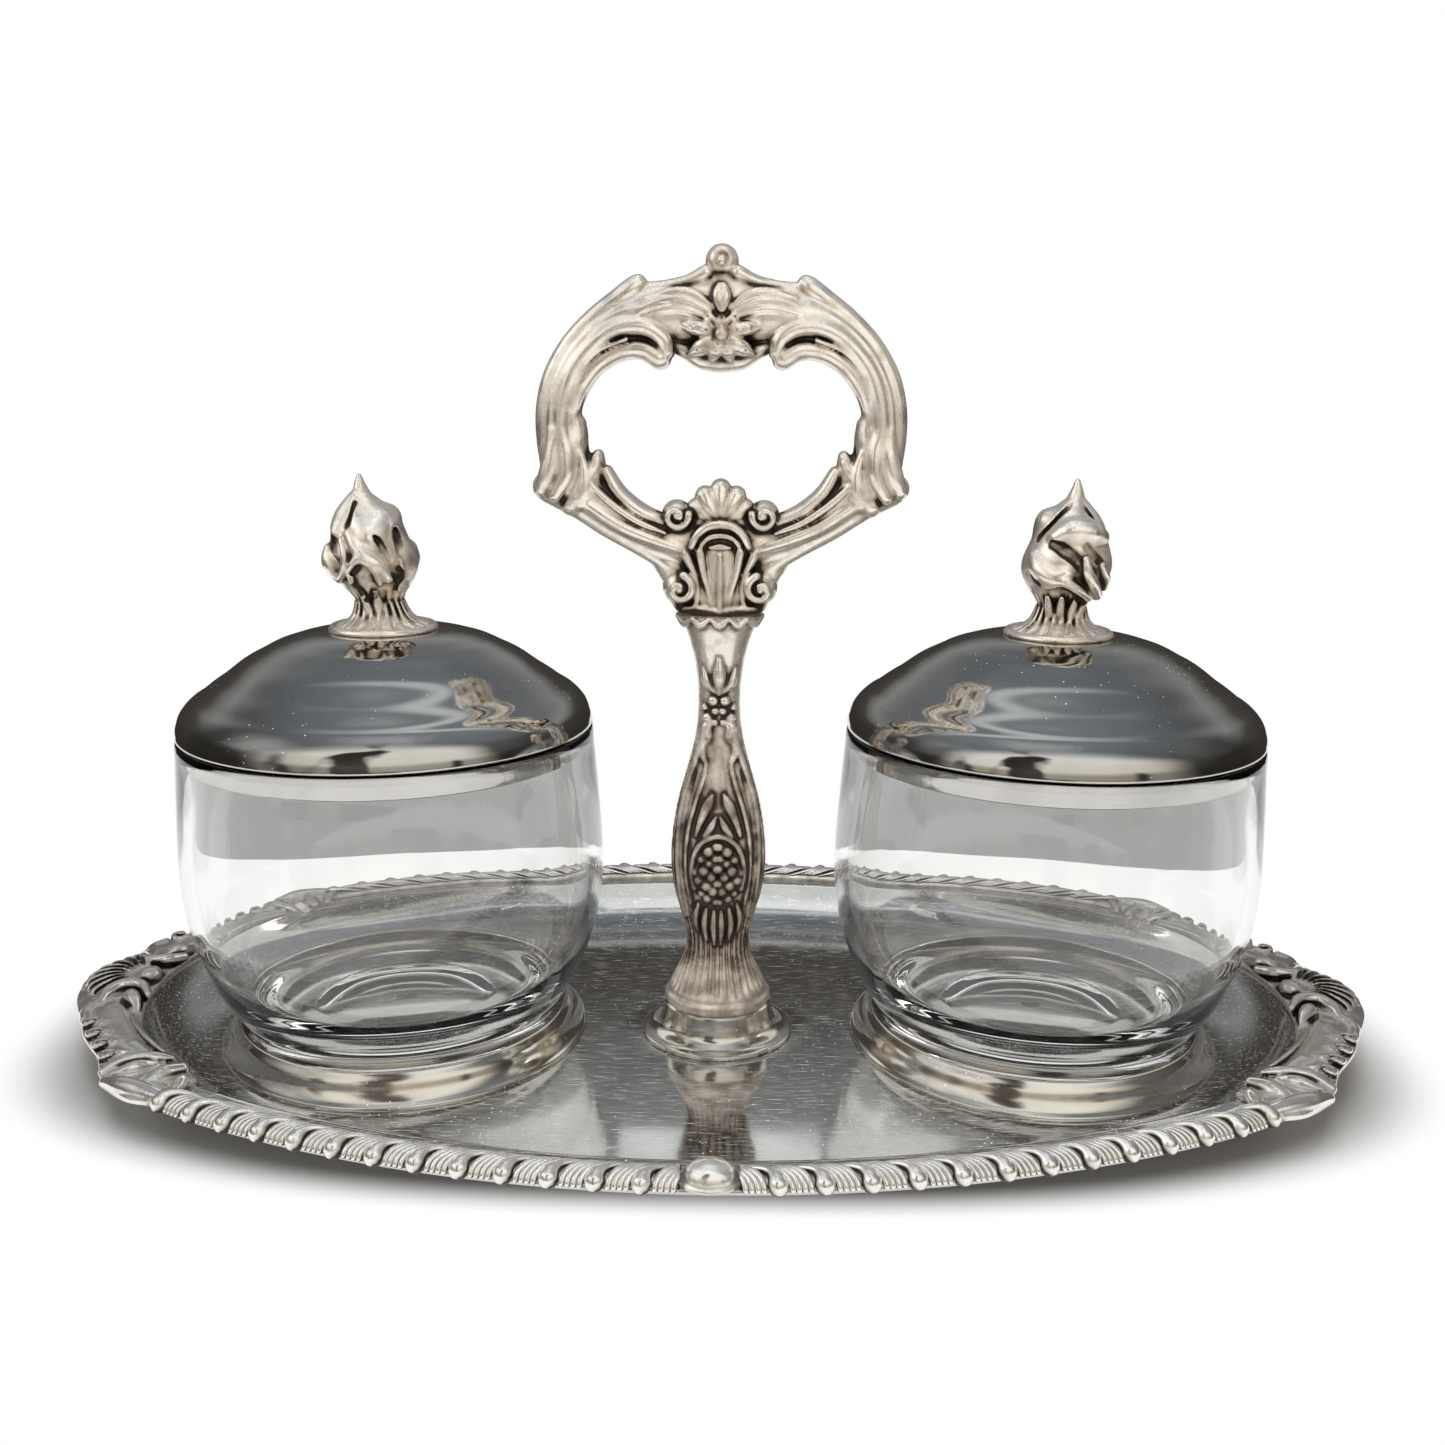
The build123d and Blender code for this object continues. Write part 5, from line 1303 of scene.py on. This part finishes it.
def floorMaterial(s):
    # Board with a painted shadow: an even grey under the object, where it also holds the soft cast shadow, and white
    # further out.
    material, tree = startMaterial("paintedShadowBoard")
    place = addNode(tree, "ShaderNodeTexCoord")
    flat = addNode(tree, "ShaderNodeMapping", {
        "Vector": place.outputs["Object"], "Scale": (1 / (s["shadowLength"] * mm), 1 / (s["shadowDepth"] * mm), 1)})
    squares = addNode(tree, "ShaderNodeVectorMath", {0: flat, 1: flat}, operation="MULTIPLY")
    parts = addNode(tree, "ShaderNodeSeparateXYZ", {0: squares})
    along, across = [addNode(tree, "ShaderNodeMath", {
        0: parts.outputs[axis], 1: s["fullness"] / 2}, operation="POWER") for axis in ("X", "Y")]
    total = addNode(tree, "ShaderNodeMath", {0: along, 1: across}, operation="ADD")
    reach = addNode(tree, "ShaderNodeMath", {0: total, 1: 1 / s["fullness"]}, operation="POWER")
    fade = addNode(tree, "ShaderNodeMapRange", {
        "Value": reach, "From Min": s["fadeStart"], "From Max": s["fadeEnd"]},
        interpolation_type="SMOOTHSTEP")
    white = addNode(tree, "ShaderNodeMath", {0: seenRays(tree), 1: fade}, operation="MULTIPLY")
    # painted shadow: this grey shows only inside the oval, and white glow covers the rest
    matte = addNode(tree, "ShaderNodeBsdfDiffuse", {"Color": hexColour(s["paintedShadowGrey"])})
    glow = addNode(tree, "ShaderNodeEmission", {"Color": (1, 1, 1, 1), "Strength": 1})
    shader = addNode(tree, "ShaderNodeMixShader", {0: white, 1: matte, 2: glow})
    addNode(tree, "ShaderNodeOutputMaterial", {"Surface": shader})
    return material


def makeFloor(s):
    work = bmesh.new()
    bmesh.ops.create_circle(work, cap_ends=True, segments=s["floorSides"], radius=s["floorRadius"] * mm)
    mesh = bpy.data.meshes.new("floor")
    work.to_mesh(mesh)
    work.free()
    mesh.materials.append(floorMaterial(s))
    addObject("paleFloorDisc", mesh)


makeFloor(stageSizes)


roomSizes = {
    "radius": 520, "rows": 12, "columns": 24, "lift": 1,
    "behindFrom": 0.12, "behindTo": 0.42, "frontFrom": -0.3, "frontTo": -0.62,
    # tones by the sine of the height above the horizon
    "behind": [(0, "#34312E"), (0.3, "#45423F"), (0.4, "#504D4A"), (0.48, "#7A7B7B"), (0.56, "#949596"),
               (0.72, "#787B7F"), (0.86, "#72777D"), (1, "#868C93")],
    "side": [(0, "#2B2824"), (0.3, "#34322F"), (0.6, "#4C4E52"), (1, "#868C93")],
    "front": [(0, "#F4EFE6"), (0.06, "#C9C3B8"), (0.14, "#8E887F"), (0.28, "#A8A298"), (0.42, "#EBE6DD"),
              (0.6, "#F8F7F2"), (0.88, "#F6F8F8"), (1, "#868C93")],
    # dark gaps between the windows, tall because the pattern is stretched
    "patchSize": 2.6, "gapStretch": 0.35, "gapFrom": 0.41, "gapTo": 0.47, "gapColour": "#3A342E",
    "sky": (0, 0.13), "skySize": (0.62, 0.1), "skyFrom": 0.15, "skyColour": "#D3D9DD",
    "wallCard": [(-30, 64, 66), (30, 64, 66), (30, 9, 66), (-30, 9, 66)], "wallCardColour": "#F4F8F8",
}


def addCard(name, verts, faces, material, kinds):  # glowing faces, seen only by the kinds of ray named
    mesh = meshFromFaces(name, verts, faces)
    mesh.materials.append(material)
    card = addObject(name, mesh)
    for kind in ("camera", "diffuse", "glossy", "transmission", "shadow", "volume_scatter"):
        setattr(card, "visible_" + kind, kind in kinds)


def lightBox(name, colour):
    # Lit diffusing sheet: an even glow of one colour.
    material, tree = startMaterial(name)
    glow = addNode(tree, "ShaderNodeEmission", {"Color": hexColour(colour), "Strength": 1})
    addNode(tree, "ShaderNodeOutputMaterial", {"Surface": glow})
    return material


def roomMaterial(r):
    # Painted walls in soft daylight: grey behind, dark at the sides, bright windows with gaps in front.
    material, tree = startMaterial("softRoom")
    place = addNode(tree, "ShaderNodeTexCoord")
    way = addNode(tree, "ShaderNodeVectorMath", {0: place.outputs["Object"]}, operation="NORMALIZE")
    parts = addNode(tree, "ShaderNodeSeparateXYZ", {0: way})
    colour, behind, front = [
        rampStops(addNode(tree, "ShaderNodeValToRGB", {"Fac": parts.outputs["Z"]}), r[side]).outputs["Color"]
        for side in ("side", "behind", "front")]
    columns = addNode(tree, "ShaderNodeMapping", {"Vector": way, "Scale": (1, 1, r["gapStretch"])})
    noise = addNode(tree, "ShaderNodeTexNoise", {"Vector": columns, "Scale": r["patchSize"], "Detail": 1})
    gaps = addNode(tree, "ShaderNodeMapRange", {
        "Value": noise.outputs["Fac"], "From Min": r["gapFrom"], "From Max": r["gapTo"]})
    windows = addNode(tree, "ShaderNodeMix", {
        0: gaps, 6: hexColour(r["gapColour"]), 7: front}, data_type="RGBA")
    for side, tone in (("behind", behind), ("front", windows.outputs[2])):
        share = addNode(tree, "ShaderNodeMapRange", {
            "Value": parts.outputs["Y"], "From Min": r[side + "From"], "From Max": r[side + "To"]},
            interpolation_type="SMOOTHSTEP")
        colour = addNode(tree, "ShaderNodeMix", {0: share, 6: colour, 7: tone}, data_type="RGBA").outputs[2]
    (skyX, skyY), (wide, deep) = r["sky"], r["skySize"]
    overhead = addNode(tree, "ShaderNodeMapping", {
        "Vector": way, "Location": (-skyX / wide, -skyY / deep, 0), "Scale": (1 / wide, 1 / deep, 0)})
    apart = addNode(tree, "ShaderNodeVectorMath", {0: overhead}, operation="LENGTH")
    share = addNode(tree, "ShaderNodeMapRange", {
        "Value": apart.outputs["Value"], "From Min": r["skyFrom"], "To Min": 1, "To Max": 0},
        interpolation_type="SMOOTHSTEP")
    colour = addNode(tree, "ShaderNodeMix", {
        0: share, 6: colour, 7: hexColour(r["skyColour"])}, data_type="RGBA")
    glow = addNode(tree, "ShaderNodeEmission", {"Color": colour.outputs[2], "Strength": 1})
    addNode(tree, "ShaderNodeOutputMaterial", {"Surface": glow})
    return material


def makeRoom(r):
    material = roomMaterial(r)
    rows, columns = r["rows"], r["columns"]
    across = columns + 1
    faces = [(a, a + 1, a + across + 1, a + across)
             for row in range(rows) for a in range(row * across, row * across + columns)]
    for name, start, kinds in (("roomBehind", 0, ["glossy"]), ("roomFront", pi, ["glossy", "transmission"])):
        verts = []
        for row in range(rows + 1):
            for k in range(across):
                rise, turn = radians(90 * row / rows), start + pi * k / columns
                verts.append((r["radius"] * cos(rise) * cos(turn), r["radius"] * cos(rise) * sin(turn),
                              r["radius"] * sin(rise) + r["lift"]))
        addCard(name, verts, faces, material, kinds)
    addCard("roomOverWall", r["wallCard"], [(0, 1, 2, 3)], lightBox("wallGlow", r["wallCardColour"]), ["glossy"])


makeRoom(roomSizes)


glassCard = {
    "line": [(-600, 100), (-150, 119), (-40, 143), (40, 143), (150, 119), (600, 100)], "foot": 0.5, "top": 62,
    "colour": "#9E9E9E",
}


def makeGlassCard(g):  # low grey sheet that shows only through the glass
    verts = [(x, y, z) for z in (g["foot"], g["top"]) for x, y in g["line"]]
    n = len(g["line"])
    faces = [(k, k + 1, n + k + 1, n + k) for k in range(n - 1)]
    addCard("greyThroughGlass", verts, faces, lightBox("greyGlow", g["colour"]), ["transmission"])


makeGlassCard(glassCard)


softLights = [  # name, place, aim, size, power, colour
    ("windowTop", (-60, -250, 1100), (0, 0, 60), (500, 320), 9, "#FBFCFF"),
    ("softLeft", (-900, -250, 700), (0, 0, 60), (500, 600), 6, "#FFFFFF"),
    ("softRight", (900, -150, 650), (0, 0, 60), (500, 600), 5, "#FFF8EE"),
    ("softFront", (0, -1000, 300), (0, 0, 40), (900, 300), 5, "#FFF6EA"),
]

for name, place, aim, size, power, colour in softLights:
    data = bpy.data.lights.new(name, "AREA")
    data.shape = "RECTANGLE"
    data.size, data.size_y = size[0] * mm, size[1] * mm
    data.energy = power
    data.color = hexColour(colour)[:3]
    light = addObject(name, data)
    light.location = Vector(place) * mm
    light.rotation_euler = (Vector(aim) * mm - light.location).to_track_quat("-Z", "Y").to_euler()


def makeWorld(roomLight):
    world = bpy.data.worlds.new("paleRoom")
    bpy.context.scene.world = world
    world.use_nodes = True
    tree = world.node_tree
    tree.nodes.clear()
    room = addNode(tree, "ShaderNodeBackground", {"Color": (1, 1, 1, 1), "Strength": roomLight})
    white = addNode(tree, "ShaderNodeBackground", {"Color": (1, 1, 1, 1), "Strength": 1})
    mixed = addNode(tree, "ShaderNodeMixShader", {0: seenRays(tree), 1: room, 2: white})
    addNode(tree, "ShaderNodeOutputWorld", {"Surface": mixed})


makeWorld(0.55)
bpy.context.scene.view_settings.view_transform = "Standard"
print("stage set")
